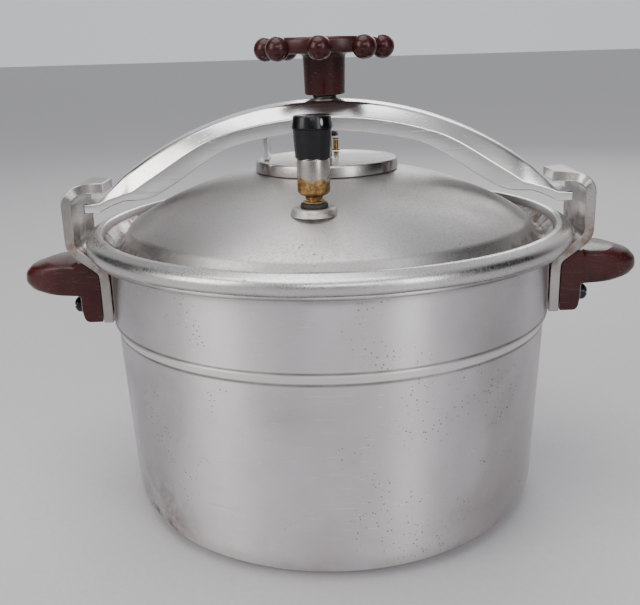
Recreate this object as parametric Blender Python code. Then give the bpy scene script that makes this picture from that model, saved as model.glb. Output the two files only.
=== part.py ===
"""Stirrup-clamp pressure canner, modelled as an assembly of separate pieces.

Metres, +Z up. The origin is the centre of the pot's underside, on the surface it stands on.
The clamp arch lies along X, and the vent valve stands in front of the centre, towards -Y.
"""
import math

import bmesh
import bpy
from mathutils import Vector

GAP = 0.0003

# Pot
BASE_RADIUS = 0.1098
BASE_CORNER = 0.0155
LOWER_WALL_RADIUS = 0.1130
UPPER_WALL_RADIUS = 0.1146
STEP_BOTTOM = 0.0989
STEP_TOP = 0.1038
POT_WALL = 0.0024
POT_FLOOR = 0.0030
POT_HEIGHT = 0.1407
FLANGE_RADIUS = 0.1233
FLANGE_THICKNESS = 0.0020
TURNED_STEPS = 48

# Lid
LID_RADIUS = 0.1250
LID_CREST_RADIUS = 0.1182
LID_CREST = 0.1494
LID_WALL = 0.0022
DOME_TOP = 0.1760
DOME_DROP = 0.0240
DOME_POWER = 2.5
DOME_EDGE = 0.1000
GROOVE_RADIUS = 0.1103
GROOVE_FLOOR = 0.1410

# Vent valve, on the lid
VALVE_X = -0.0059
VALVE_Y = -0.0703
BOSS_RADIUS = 0.0093
BOSS_TOP = 0.1664
BOSS_BOTTOM = 0.1590
STEM_RADIUS = 0.0039
STEM_HOLE = 0.0043
WEIGHT_RADIUS = 0.00725
WEIGHT_BOTTOM = 0.1704
CAP_BOTTOM = 0.1887
CAP_TOP = 0.2070

# Clamp arch
ARCH_TOP = 0.2102
ARCH_RADIUS = 0.1739
ARCH_BEND = 0.1040
ARCH_HALF_WIDTH = 0.0150
ARCH_SHEET = 0.0030
ARCH_DEPTH = 0.0155
ARCH_DEEPENING = 0.0066
TAB_TOP = 0.1612
TAB_THICKNESS = 0.0048
TAB_END = 0.1250
BUSH_BOTTOM = 0.1950

# Clamp screw and knob
THREAD_RADIUS = 0.0064
PINTLE_RADIUS = 0.0031
KNOB_BOTTOM = 0.2119
KNOB_MIDDLE = 0.2345
KNOB_TOP = 0.2400
KNOB_NECK_RADIUS = 0.0104
KNOB_WHEEL_RADIUS = 0.0288
LOBE_RING_RADIUS = 0.0295
LOBE_RADIUS = 0.0059
LOBE_COUNT = 8
LOBE_START_DEG = -94.0

# Pressure disc
DISC_RADIUS = 0.0370
DISC_TOP = 0.1801
DISC_SHEET = 0.0012
DISC_EDGE = 0.1745
EAR_X = -0.0307
EAR_THICKNESS = 0.0030
EAR_FRONT = -0.0080
EAR_BACK = 0.0100
EAR_TOP = 0.1945
STOP_PIN_X = 0.0053
STOP_PIN_Y = 0.0279

# Brackets and handles; "out" is the distance from the pot's axis along X
BRACKET_THICKNESS = 0.0051
BRACKET_HALF_WIDTH = 0.0200
HOOK_HALF_WIDTH = 0.0098
BRACKET_BOTTOM = 0.0990
LEG_OUT = 0.1176
POST_OUT = 0.1328
POST_FOOT = 0.1386
LEG_HEAD = 0.1267
HOOK_LEVEL = 0.1686
HOOK_END = 0.1155
SADDLE_LOW = 0.1190
SADDLE_HIGH = 0.1330
SADDLE_SHARE = 0.45
HANDLE_HALF_WIDTH = 0.0190
HANDLE_TIP = 0.1640
GRIP_HALF_WIDTH = 0.0182
GRIP_TOP = 0.1315
SCREW_HEIGHT = 0.1038
SCREW_TIP = 0.1153
HANDLE_FACE = 0.1347
RIVET_PLACES = ((-0.0130, 0.1110), (0.0130, 0.1110), (0.0, 0.1190))
RIVET_RADIUS = 0.0025


def clear_scene():
    for item in list(bpy.data.objects):
        bpy.data.objects.remove(item, do_unlink=True)


def make_material(name, colour, roughness, metallic):
    material = bpy.data.materials.new(name)
    material.use_nodes = True
    shader = material.node_tree.nodes["Principled BSDF"]
    shader.inputs["Base Color"].default_value = (*colour, 1.0)
    shader.inputs["Roughness"].default_value = roughness
    shader.inputs["Metallic"].default_value = metallic
    return material


def make_materials():
    return {
        "pot_aluminium": make_material("pot_aluminium", (0.56, 0.55, 0.56), 0.38, 1.0),
        "lid_aluminium": make_material("lid_aluminium", (0.50, 0.49, 0.49), 0.50, 1.0),
        "polished_steel": make_material("polished_steel", (0.66, 0.65, 0.64), 0.20, 1.0),
        "bracket_steel": make_material("bracket_steel", (0.62, 0.60, 0.57), 0.45, 1.0),
        "bakelite": make_material("bakelite", (0.085, 0.012, 0.012), 0.22, 0.0),
        "black_plastic": make_material("black_plastic", (0.012, 0.012, 0.012), 0.30, 0.0),
        "brass": make_material("brass", (0.55, 0.36, 0.15), 0.38, 1.0),
        "dark_steel": make_material("dark_steel", (0.10, 0.10, 0.10), 0.50, 1.0),
        "rubber": make_material("rubber", (0.03, 0.03, 0.03), 0.85, 0.0),
    }


def arc(centre, radius, start_deg, end_deg, steps):
    points = []
    for index in range(steps + 1):
        angle = math.radians(start_deg + (end_deg - start_deg) * index / steps)
        points.append((centre[0] + radius * math.cos(angle), centre[1] + radius * math.sin(angle)))
    return points


def finish_mesh(name, bm, material, location, smooth=True):
    bmesh.ops.recalc_face_normals(bm, faces=bm.faces)
    mesh = bpy.data.meshes.new(name)
    bm.to_mesh(mesh)
    bm.free()
    if smooth:
        mesh.shade_smooth()
        mesh.set_sharp_from_angle(angle=math.radians(35.0))
    mesh.materials.append(material)
    item = bpy.data.objects.new(name, mesh)
    item.location = location
    bpy.context.collection.objects.link(item)
    return item


def add_ring(bm, radius, height, steps):
    if radius < 1e-6:
        return [bm.verts.new((0.0, 0.0, height))]
    ring = []
    for index in range(steps):
        angle = 2.0 * math.pi * index / steps
        ring.append(bm.verts.new((radius * math.cos(angle), radius * math.sin(angle), height)))
    return ring


def bridge_rings(bm, first, second):
    steps = max(len(first), len(second))
    for index in range(steps):
        after = (index + 1) % steps
        if len(first) == 1:
            corners = (first[0], second[index], second[after])
        elif len(second) == 1:
            corners = (first[index], second[0], first[after])
        else:
            corners = (first[index], second[index], second[after], first[after])
        bm.faces.new(corners)


def turned(name, profile, material, steps=24, location=(0.0, 0.0, 0.0)):
    """Solid of revolution about Z from a closed outline of (radius, height) points."""
    bm = bmesh.new()
    rings = [add_ring(bm, radius, height, steps) for radius, height in profile]
    for first, second in zip(rings, rings[1:] + rings[:1]):
        if len(first) > 1 or len(second) > 1:
            bridge_rings(bm, first, second)
    return finish_mesh(name, bm, material, location)


def lofted(name, outlines, material):
    """Closed solid through outlines that have the same number of points."""
    bm = bmesh.new()
    loops = [[bm.verts.new(point) for point in outline] for outline in outlines]
    for first, second in zip(loops, loops[1:]):
        count = len(first)
        for index in range(count):
            after = (index + 1) % count
            bm.faces.new((first[index], first[after], second[after], second[index]))
    bm.faces.new(loops[0])
    bm.faces.new(reversed(loops[-1]))
    return finish_mesh(name, bm, material, (0.0, 0.0, 0.0))


def thick_sheet(name, outside, inside, material):
    """Closed solid between two grids of points, one on each side of a sheet."""
    bm = bmesh.new()
    outer = [[bm.verts.new(point) for point in row] for row in outside]
    inner = [[bm.verts.new(point) for point in row] for row in inside]
    rows = len(outer)
    columns = len(outer[0])
    for i in range(rows - 1):
        for j in range(columns - 1):
            bm.faces.new((outer[i][j], outer[i + 1][j], outer[i + 1][j + 1], outer[i][j + 1]))
            bm.faces.new((inner[i][j], inner[i][j + 1], inner[i + 1][j + 1], inner[i + 1][j]))
    for i in range(rows - 1):
        for j in (0, columns - 1):
            bm.faces.new((outer[i][j], inner[i][j], inner[i + 1][j], outer[i + 1][j]))
    for j in range(columns - 1):
        for i in (0, rows - 1):
            bm.faces.new((outer[i][j], outer[i][j + 1], inner[i][j + 1], inner[i][j]))
    return finish_mesh(name, bm, material, (0.0, 0.0, 0.0))


def rod_mesh(name, radius, start, end, steps=12):
    """Helper cylinder between two points, hidden from renders."""
    bm = bmesh.new()
    start = Vector(start)
    end = Vector(end)
    turn = (end - start).to_track_quat("Z", "Y").to_matrix().to_4x4()
    bmesh.ops.create_cone(
        bm, cap_ends=True, segments=steps, radius1=radius, radius2=radius, depth=(end - start).length)
    bmesh.ops.transform(bm, matrix=turn, verts=bm.verts)
    mesh = bpy.data.meshes.new(name)
    bm.to_mesh(mesh)
    bm.free()
    helper = bpy.data.objects.new(name, mesh)
    helper.location = (start + end) / 2.0
    return hide_helper(helper)


def hide_helper(helper):
    bpy.context.collection.objects.link(helper)
    helper.hide_render = True
    helper.display_type = "WIRE"
    return helper


def combine(item, helper, operation):
    modifier = item.modifiers.new(operation.lower(), "BOOLEAN")
    modifier.operation = operation
    modifier.solver = "EXACT"
    modifier.object = helper


# ---------------------------------------------------------------- pot and lid

def pot_outline():
    corner = arc((BASE_RADIUS - BASE_CORNER, BASE_CORNER), BASE_CORNER, -90.0, 0.0, 5)
    step_mid = (STEP_BOTTOM + STEP_TOP) / 2.0
    wall_mid = (LOWER_WALL_RADIUS + UPPER_WALL_RADIUS) / 2.0
    flange_under = POT_HEIGHT - FLANGE_THICKNESS
    outside = [
        (LOWER_WALL_RADIUS, STEP_BOTTOM),
        (wall_mid, step_mid),
        (UPPER_WALL_RADIUS, STEP_TOP),
        (UPPER_WALL_RADIUS, flange_under - 0.0030),
        (UPPER_WALL_RADIUS + 0.0012, flange_under - 0.0008),
        (UPPER_WALL_RADIUS + 0.0034, flange_under),
        (FLANGE_RADIUS, flange_under),
        (FLANGE_RADIUS, POT_HEIGHT),
    ]
    inner_corner = BASE_CORNER - POT_WALL
    inside = [
        (UPPER_WALL_RADIUS - POT_WALL, POT_HEIGHT),
        (UPPER_WALL_RADIUS - POT_WALL, STEP_TOP + 0.0006),
        (LOWER_WALL_RADIUS - POT_WALL, STEP_BOTTOM - 0.0006),
    ]
    floor_centre = (BASE_RADIUS - POT_WALL - inner_corner, POT_FLOOR + inner_corner)
    inside += arc(floor_centre, inner_corner, 0.0, -90.0, 3)
    return [(0.0, 0.0)] + corner + outside + inside + [(0.0, POT_FLOOR)]


def dome_height(radius):
    return DOME_TOP - DOME_DROP * (radius / DOME_EDGE) ** DOME_POWER


def lid_outline():
    dome_radii = [0.0, 0.028, 0.048, 0.064, 0.078, 0.090, 0.100]
    top = [(radius, dome_height(radius)) for radius in dome_radii]
    crest_centre = (LID_CREST_RADIUS, LID_CREST - LID_RADIUS + LID_CREST_RADIUS)
    top += [
        (0.1042, 0.1482),
        (0.1078, 0.1432),
        (GROOVE_RADIUS, GROOVE_FLOOR),
        (0.1126, 0.1430),
        (0.1156, 0.1473),
    ]
    top += arc(crest_centre, LID_RADIUS - LID_CREST_RADIUS, 90.0, 0.0, 4)
    seam = POT_HEIGHT + GAP
    under = [
        (0.1245, seam),
        (0.1219, seam),
        (0.1219, 0.1440),
        (0.1154, 0.1440),
        (0.1122, 0.1408),
        (GROOVE_RADIUS, 0.1390),
        (0.1068, 0.1408),
        (0.1020, 0.1468),
    ]
    under_radii = (0.0900, 0.0740, 0.0500)
    under += [(radius, dome_height(radius + 0.0012) - LID_WALL) for radius in under_radii]
    return top + under + [(0.0, DOME_TOP - LID_WALL)]


def build_pot(paint):
    pot = turned("pot_body", pot_outline(), paint["pot_aluminium"], TURNED_STEPS)
    for side in (-1, 1):
        for number, (across, height) in enumerate(RIVET_PLACES):
            start = (side * 0.1000, across, height)
            end = (side * 0.1200, across, height)
            combine(pot, rod_mesh(f"pot_hole_{side}_{number}", RIVET_RADIUS + GAP, start, end), "DIFFERENCE")


def build_lid(paint):
    lid = turned("lid_shell", lid_outline(), paint["lid_aluminium"], TURNED_STEPS)
    low = (VALVE_X, VALVE_Y, BOSS_BOTTOM)
    land = (VALVE_X, VALVE_Y, BOSS_TOP)
    high = (VALVE_X, VALVE_Y, BOSS_TOP + 0.0100)
    combine(lid, rod_mesh("lid_land", BOSS_RADIUS + 0.0012, land, high, 24), "DIFFERENCE")
    combine(lid, rod_mesh("lid_boss", BOSS_RADIUS, low, land, 24), "UNION")
    below = (VALVE_X, VALVE_Y, 0.1500)
    combine(lid, rod_mesh("lid_vent_hole", STEM_HOLE, below, high, 16), "DIFFERENCE")
    seat = POT_HEIGHT + GAP
    gasket = [(0.1159, seat), (0.1216, seat), (0.1216, seat + 0.0026), (0.1159, seat + 0.0026)]
    turned("lid_gasket", gasket, paint["rubber"], TURNED_STEPS)


# ---------------------------------------------------------------- vent valve

def build_valve(paint):
    place = (VALVE_X, VALVE_Y, 0.0)
    seal_top = BOSS_TOP + 0.0024
    stem_top = 0.1820
    bore = 0.0013
    stem = [
        (bore, 0.1525),
        (STEM_RADIUS, 0.1525),
        (STEM_RADIUS, seal_top + GAP),
        (0.0052, seal_top + GAP),
        (0.0052, seal_top + 0.0008),
        (0.0022, seal_top + 0.0008),
        (0.0022, stem_top - 0.0004),
        (0.0018, stem_top),
        (bore, stem_top),
    ]
    turned("vent_stem", stem, paint["brass"], 16, place)
    seal_bottom = BOSS_TOP + GAP
    seal = [(STEM_HOLE, seal_bottom), (0.0064, seal_bottom), (0.0064, seal_top), (STEM_HOLE, seal_top)]
    turned("vent_seal", seal, paint["rubber"], 16, place)
    nut_top = BOSS_BOTTOM - GAP
    nut_base = nut_top - 0.0042
    nut = [(0.0049, nut_base), (0.0082, nut_base), (0.0082, nut_top), (0.0049, nut_top)]
    turned("vent_nut", nut, paint["brass"], 6, place)
    needle = [(0.0, 0.1811), (0.0007, 0.1811), (0.0008, 0.1822), (0.0023, 0.1834), (0.0023, 0.1885), (0.0, 0.1885)]
    turned("valve_needle", needle, paint["dark_steel"], 12, place)
    weight = [
        (0.0027, WEIGHT_BOTTOM),
        (0.0038, WEIGHT_BOTTOM),
        (WEIGHT_RADIUS - 0.0004, WEIGHT_BOTTOM + 0.0024),
        (WEIGHT_RADIUS, WEIGHT_BOTTOM + 0.0030),
        (WEIGHT_RADIUS, CAP_BOTTOM - 0.0006),
        (0.0055, CAP_BOTTOM - 0.0006),
        (0.0055, 0.1965),
        (0.0, 0.1965),
        (0.0, 0.1890),
        (0.0027, 0.1890),
    ]
    turned("valve_weight", weight, paint["brass"], 24, place)
    cap = [
        (0.0058, CAP_BOTTOM),
        (0.0078, CAP_BOTTOM),
        (0.0085, 0.2010),
        (0.0090, 0.2022),
        (0.0082, CAP_TOP - 0.0004),
        (0.0078, CAP_TOP),
        (0.0, CAP_TOP),
        (0.0, 0.1970),
        (0.0058, 0.1970),
    ]
    turned("valve_cap", cap, paint["black_plastic"], 24, place)


# ---------------------------------------------------------------- clamp arch, screw and knob

def blend(value, low, high):
    """Smooth step from 0 at low to 1 at high."""
    part = min(max((value - low) / (high - low), 0.0), 1.0)
    return part * part * (3.0 - 2.0 * part)


def arch_height(across):
    """Height of the arch's crown: a circle, then a straight run that eases into the level tab."""
    bowed = min(across, ARCH_BEND)
    height = ARCH_TOP - ARCH_RADIUS + math.sqrt(ARCH_RADIUS ** 2 - bowed ** 2)
    height -= (across - bowed) * 1.05
    above = height - TAB_TOP
    ease = 0.0008
    return TAB_TOP + (above + math.sqrt(above ** 2 + 4.0 * ease ** 2)) / 2.0


def arch_section(x):
    """Channel section with sloping shoulders; it deepens outwards and closes up into the tab."""
    across = abs(x)
    top = arch_height(across)
    tab = blend(across, 0.0980, 0.1200)
    depth = ARCH_DEPTH + ARCH_DEEPENING * blend(across, 0.0450, 0.0830)
    depth += (TAB_THICKNESS - ARCH_DEPTH - ARCH_DEEPENING) * blend(across, 0.0860, 0.1220)
    bowed = min(across, ARCH_BEND)
    slope = bowed / math.sqrt(ARCH_RADIUS ** 2 - bowed ** 2)
    sheet = ARCH_SHEET * math.sqrt(1.0 + slope ** 2) * (1.0 - tab) + 0.0040 * tab
    edge = (0.0084 + 0.0036 * blend(across, 0.0550, 0.0900)) * (1.0 - tab) + 0.0006 * tab
    crown = 0.0095 * (1.0 - tab) + (ARCH_HALF_WIDTH - 0.0012) * tab
    drop = 0.0012 * (1.0 - tab)
    under = max(min(edge + sheet * 0.45, depth - 0.0006), sheet)
    half = ARCH_HALF_WIDTH
    wall = 0.0026
    right = [
        (half, -depth),
        (half, -edge - 0.0004),
        (half - 0.0008, -edge + 0.0010 * (1.0 - tab)),
        (crown, -drop),
        (0.0, 0.0),
    ]
    inner_crown = min(crown - 0.0005, half - wall - 0.0006)
    inner = [(half - wall, -depth), (half - wall, -under), (inner_crown, -drop - sheet), (0.0, -sheet)]
    outline = [(-y, z) for y, z in right[:-1]] + [right[-1]] + list(reversed(right[:-1]))
    outline += inner[:-1] + [inner[-1]] + [(-y, z) for y, z in reversed(inner[:-1])]
    return [(x, y, top + z) for y, z in outline]


def build_arch(paint):
    inner = [0.008 * step for step in range(12)]
    outer = [0.0950, 0.1000, ARCH_BEND, 0.1075, 0.1105, 0.1135, 0.1165, 0.1205, TAB_END]
    half = inner + outer
    stations = [-x for x in reversed(half)] + half[1:]
    arch = lofted("clamp_arch", [arch_section(x) for x in stations], paint["polished_steel"])
    hole = rod_mesh("arch_hole", 0.0081, (0.0, 0.0, 0.2000), (0.0, 0.0, 0.2200), 20)
    combine(arch, hole, "DIFFERENCE")
    shoulder = ARCH_TOP - ARCH_SHEET - 0.0006
    bush = [
        (0.0067, BUSH_BOTTOM),
        (0.0100, BUSH_BOTTOM),
        (0.0100, shoulder - 0.0030),
        (0.0084, shoulder - 0.0008),
        (0.0078, shoulder - 0.0006),
        (0.0078, ARCH_TOP - GAP),
        (0.0067, ARCH_TOP - GAP),
    ]
    turned("arch_nut", bush, paint["dark_steel"], 20)


def build_screw(paint):
    spindle = [
        (0.0, 0.1764),
        (0.0030, 0.1764),
        (0.0030, 0.1773),
        (0.0019, 0.1773),
        (0.0019, DISC_TOP + GAP),
        (PINTLE_RADIUS, DISC_TOP + GAP),
        (PINTLE_RADIUS, 0.1900),
        (THREAD_RADIUS, 0.1915),
        (THREAD_RADIUS, KNOB_BOTTOM - GAP),
        (0.0040, KNOB_BOTTOM - GAP),
        (0.0040, 0.2388),
        (0.0, 0.2388),
    ]
    turned("clamp_spindle", spindle, paint["dark_steel"], 20)
    washer = [(0.0043, 0.2343), (0.0078, 0.2343), (0.0078, 0.2352), (0.0043, 0.2352)]
    turned("knob_washer", washer, paint["polished_steel"], 16)
    nut = [(0.0050, 0.2355), (0.0075, 0.2355), (0.0075, 0.2386), (0.0050, 0.2386)]
    turned("knob_nut", nut, paint["polished_steel"], 6)


def build_knob(paint):
    wheel_under = KNOB_MIDDLE - 0.0020
    profile = [
        (0.0043, KNOB_BOTTOM),
        (KNOB_NECK_RADIUS - 0.0006, KNOB_BOTTOM),
        (KNOB_NECK_RADIUS - 0.0002, KNOB_BOTTOM + 0.0006),
        (KNOB_NECK_RADIUS + 0.0003, wheel_under - 0.0022),
        (KNOB_NECK_RADIUS + 0.0022, wheel_under),
        (KNOB_WHEEL_RADIUS - 0.0030, wheel_under + 0.0003),
        (KNOB_WHEEL_RADIUS, wheel_under + 0.0020),
        (KNOB_WHEEL_RADIUS, KNOB_TOP - 0.0026),
        (KNOB_WHEEL_RADIUS - 0.0030, KNOB_TOP - 0.0006),
        (0.0150, KNOB_TOP),
        (0.0092, KNOB_TOP - 0.0002),
        (0.0088, 0.2340),
        (0.0043, 0.2340),
    ]
    knob = turned("star_knob", profile, paint["bakelite"], 24)
    bm = bmesh.new()
    for number in range(LOBE_COUNT):
        angle = math.radians(LOBE_START_DEG + 360.0 * number / LOBE_COUNT)
        ball = bmesh.ops.create_uvsphere(bm, u_segments=8, v_segments=6, radius=LOBE_RADIUS)["verts"]
        place = Vector((LOBE_RING_RADIUS * math.cos(angle), LOBE_RING_RADIUS * math.sin(angle), KNOB_MIDDLE))
        bmesh.ops.translate(bm, vec=place, verts=ball)
    mesh = bpy.data.meshes.new("knob_lobes")
    bm.to_mesh(mesh)
    bm.free()
    combine(knob, hide_helper(bpy.data.objects.new("knob_lobes", mesh)), "UNION")


# ---------------------------------------------------------------- pressure disc

def build_disc(paint):
    disc = [
        (0.0023, DISC_TOP),
        (DISC_RADIUS - 0.0018, DISC_TOP),
        (DISC_RADIUS - 0.0006, DISC_TOP - 0.0006),
        (DISC_RADIUS - 0.0002, DISC_TOP - 0.0018),
        (DISC_RADIUS, DISC_EDGE),
        (DISC_RADIUS - DISC_SHEET, DISC_EDGE),
        (DISC_RADIUS - DISC_SHEET - 0.0002, DISC_TOP - 0.0020),
        (DISC_RADIUS - DISC_SHEET - 0.0012, DISC_TOP - DISC_SHEET),
        (0.0023, DISC_TOP - DISC_SHEET),
    ]
    turned("pressure_disc", disc, paint["polished_steel"], 40)
    washer = [(0.0023, 0.1776), (0.0060, 0.1776), (0.0060, 0.1786), (0.0023, 0.1786)]
    turned("disc_washer", washer, paint["polished_steel"], 16)
    build_ear(paint)
    place = (STOP_PIN_X, STOP_PIN_Y, 0.0)
    foot = DISC_TOP + GAP
    pin = [(0.0, foot), (0.0022, foot), (0.0022, foot + 0.0008), (0.00145, foot + 0.0010),
           (0.00145, 0.1862), (0.0, 0.1862)]
    turned("disc_stop_pin", pin, paint["brass"], 12, place)
    tip = [(0.0, 0.1865), (0.0017, 0.1865), (0.0017, 0.1872), (0.0012, 0.1876), (0.0, 0.1876)]
    turned("stop_pin_tip", tip, paint["dark_steel"], 12, place)


def build_ear(paint):
    low = DISC_TOP + GAP
    outline = [
        (EAR_FRONT, low),
        (EAR_BACK, low),
        (EAR_BACK, EAR_TOP - 0.0020),
        (EAR_BACK - 0.0020, EAR_TOP),
        (EAR_FRONT + 0.0020, EAR_TOP),
        (EAR_FRONT, EAR_TOP - 0.0020),
    ]
    sides = (EAR_X - EAR_THICKNESS / 2.0, EAR_X + EAR_THICKNESS / 2.0)
    lofted("disc_guide_ear", [[(x, y, z) for y, z in outline] for x in sides], paint["polished_steel"])


# ---------------------------------------------------------------- brackets and handles

def saddle(across, height, radius):
    """How far a strap on the pot's wall falls back at a distance from its middle."""
    wrap = SADDLE_SHARE * (1.0 - blend(height, SADDLE_LOW, SADDLE_HIGH))
    return wrap * (radius - math.sqrt(radius ** 2 - across ** 2))


def drill_side(item, side, name):
    for number, (across, height) in enumerate(RIVET_PLACES):
        start = (side * 0.1050, across, height)
        end = (side * 0.1300, across, height)
        combine(item, rod_mesh(f"{name}_hole_{number}", RIVET_RADIUS + GAP, start, end), "DIFFERENCE")


def fillet(before, corner, after, radius, steps):
    """Points of an arc that rounds the corner of a path."""
    into = (Vector(corner) - Vector(before)).normalized()
    away = (Vector(after) - Vector(corner)).normalized()
    bend = into.angle(away)
    reach = radius * math.tan(bend / 2.0)
    start = Vector(corner) - into * reach
    end = Vector(corner) + away * reach
    centre = Vector(corner) + (away - into).normalized() * (radius / math.cos(bend / 2.0))
    points = []
    for index in range(steps + 1):
        middle = start.lerp(end, index / steps) - centre
        points.append(centre + middle.normalized() * radius)
    return points


def bracket_path():
    """Middle line of the bracket, from the hook's end to the foot, as (out, height)."""
    hook_end = (HOOK_END, HOOK_LEVEL)
    head = (POST_OUT, HOOK_LEVEL)
    elbow = (POST_OUT, POST_FOOT)
    knee = (LEG_OUT, LEG_HEAD)
    foot = (LEG_OUT, BRACKET_BOTTOM)
    path = [Vector(hook_end), Vector((HOOK_END + 0.0050, HOOK_LEVEL))]
    path += fillet(hook_end, head, elbow, 0.0078, 6)
    path += fillet(head, elbow, knee, 0.0072, 4)
    path += fillet(elbow, knee, foot, 0.0062, 4)
    path += [Vector((LEG_OUT, 0.1130)), Vector(foot)]
    return path


def beside(path, distance):
    """The path moved sideways, away from the pot where the distance is positive."""
    moved = []
    for index, point in enumerate(path):
        before = path[max(index - 1, 0)]
        after = path[min(index + 1, len(path) - 1)]
        along = (after - before).normalized()
        moved.append(point + Vector((-along.y, along.x)) * distance)
    return moved


def crossing(path, height):
    """Where a falling path passes a height."""
    for above, below in zip(path, path[1:]):
        if above.y >= height > below.y:
            return above.lerp(below, (above.y - height) / (above.y - below.y))
    return path[-1]


def bracket_half_width(out, height):
    if height < 0.1600:
        return BRACKET_HALF_WIDTH
    spread = blend(out, 0.1180, 0.1330)
    return HOOK_HALF_WIDTH + (BRACKET_HALF_WIDTH - HOOK_HALF_WIDTH) * spread


def build_bracket(side, name, paint):
    path = bracket_path()
    grids = []
    for distance in (BRACKET_THICKNESS / 2.0, -BRACKET_THICKNESS / 2.0):
        grid = []
        for point, middle in zip(beside(path, distance), path):
            half = bracket_half_width(middle.x, middle.y)
            row = []
            for column in range(7):
                y = half * (column / 3.0 - 1.0)
                row.append((side * (point.x - saddle(y, middle.y, point.x)), y, point.y))
            grid.append(row)
        grids.append(grid)
    bracket = thick_sheet(name, grids[0], grids[1], paint["bracket_steel"])
    drill_side(bracket, side, name)
    start = (side * 0.1050, 0.0, SCREW_HEIGHT)
    end = (side * 0.1300, 0.0, SCREW_HEIGHT)
    combine(bracket, rod_mesh(f"{name}_screw_hole", 0.0028, start, end), "DIFFERENCE")


def handle_outline():
    """Side view of a handle as (out, height): a grip on a leg that follows the bracket."""
    hug = beside(bracket_path(), BRACKET_THICKNESS / 2.0 + 2.0 * GAP)
    top_corner = crossing(hug, GRIP_TOP - 0.0009)
    leg_face = hug[-1].x
    outline = [
        (leg_face, 0.0993),
        (0.1320, 0.0993),
        (0.1340, 0.1008),
        (HANDLE_FACE, 0.1040),
        (HANDLE_FACE, 0.1118),
        (0.1358, 0.1132),
        (0.1400, 0.1136),
        (0.1500, 0.1134),
        (0.1580, 0.1140),
        (0.1622, 0.1165),
        (HANDLE_TIP, 0.1200),
        (0.1627, 0.1240),
        (0.1580, 0.1282),
        (0.1500, 0.1307),
        (0.1400, GRIP_TOP),
        (0.1330, GRIP_TOP - 0.0002),
    ]
    outline.append((top_corner.x + 0.0006, GRIP_TOP - 0.0004))
    outline.append((top_corner.x, top_corner.y))
    outline += [(point.x, point.y) for point in hug if 0.1150 < point.y < top_corner.y - 0.0010]
    return outline


def handle_layer(side, y):
    """The side view at a distance from the middle: the grip is round in plan, the leg is not."""
    part = min(abs(y) / GRIP_HALF_WIDTH, 0.999)
    grip_start = HANDLE_FACE + 0.0004
    reach = (1.0 - part ** 2.4) ** (1.0 / 2.4)
    layer = []
    for out, height in handle_outline():
        if out > grip_start:
            out = grip_start + (out - grip_start) * reach
            height = min(height, GRIP_TOP - 0.0023 * part * part)
        if out > 0.1300:
            out -= 0.0037 * (y / HANDLE_HALF_WIDTH) ** 2
        out -= saddle(y, height, LEG_OUT)
        layer.append((side * out, y, height))
    return layer


def build_handle(side, name, paint):
    half = [0.0045, 0.0090, 0.0130, 0.0158, 0.0175, GRIP_HALF_WIDTH, HANDLE_HALF_WIDTH]
    places = [-y for y in reversed(half)] + [0.0] + half
    handle = lofted(name, [handle_layer(side, y) for y in places], paint["bakelite"])
    start = (side * 0.1100, 0.0, SCREW_HEIGHT)
    end = (side * 0.1450, 0.0, SCREW_HEIGHT)
    combine(handle, rod_mesh(f"{name}_hole", 0.0028, start, end), "DIFFERENCE")


def build_screw_and_rivets(side, word, paint):
    tip = SCREW_TIP
    face = HANDLE_FACE + GAP
    head = [(0.0, face + 0.0045 - tip), (0.0030, face + 0.0045 - tip), (0.0040, face + 0.0033 - tip),
            (0.0044, face - tip), (0.0025, face - tip), (0.0025, 0.0), (0.0, 0.0)]
    turn = (0.0, side * math.pi / 2.0, 0.0)
    screw = turned(f"{word}_handle_screw", head, paint["black_plastic"], 14)
    screw.rotation_euler = turn
    screw.location = (side * tip, 0.0, SCREW_HEIGHT)
    inner_wall = UPPER_WALL_RADIUS - POT_WALL - GAP
    outer_face = LEG_OUT + BRACKET_THICKNESS / 2.0 - GAP
    for number, (across, height) in enumerate(RIVET_PLACES):
        fall = UPPER_WALL_RADIUS - math.sqrt(UPPER_WALL_RADIUS ** 2 - across ** 2)
        clear = 0.0007 if across else 0.0002
        start = inner_wall - fall - clear
        length = outer_face - fall - start
        shape = [(0.0, -0.0019), (0.0026, -0.0015), (0.0045, 0.0), (RIVET_RADIUS, 0.0),
                 (RIVET_RADIUS, length), (0.0, length)]
        rivet = turned(f"{word}_rivet_{number + 1}", shape, paint["dark_steel"], 12)
        rivet.rotation_euler = turn
        rivet.location = (side * start, across, height)


def build_sides(paint):
    for side, word in ((-1, "left"), (1, "right")):
        build_bracket(side, f"{word}_hook_bracket", paint)
        build_handle(side, f"{word}_handle", paint)
        build_screw_and_rivets(side, word, paint)


def main():
    clear_scene()
    paint = make_materials()
    build_pot(paint)
    build_lid(paint)
    build_valve(paint)
    build_arch(paint)
    build_screw(paint)
    build_knob(paint)
    build_disc(paint)
    build_sides(paint)


main()
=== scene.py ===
"""Looks for the stirrup-clamp pressure canner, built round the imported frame.

Metres, +Z up. The clamp arch and the handles lie along X; the vent valve stands towards -Y.
Each piece is a finer version of a CAD node, in the same place, with its own material.
"""
import math

import bmesh
import bpy
from mathutils import Matrix, Vector


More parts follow.
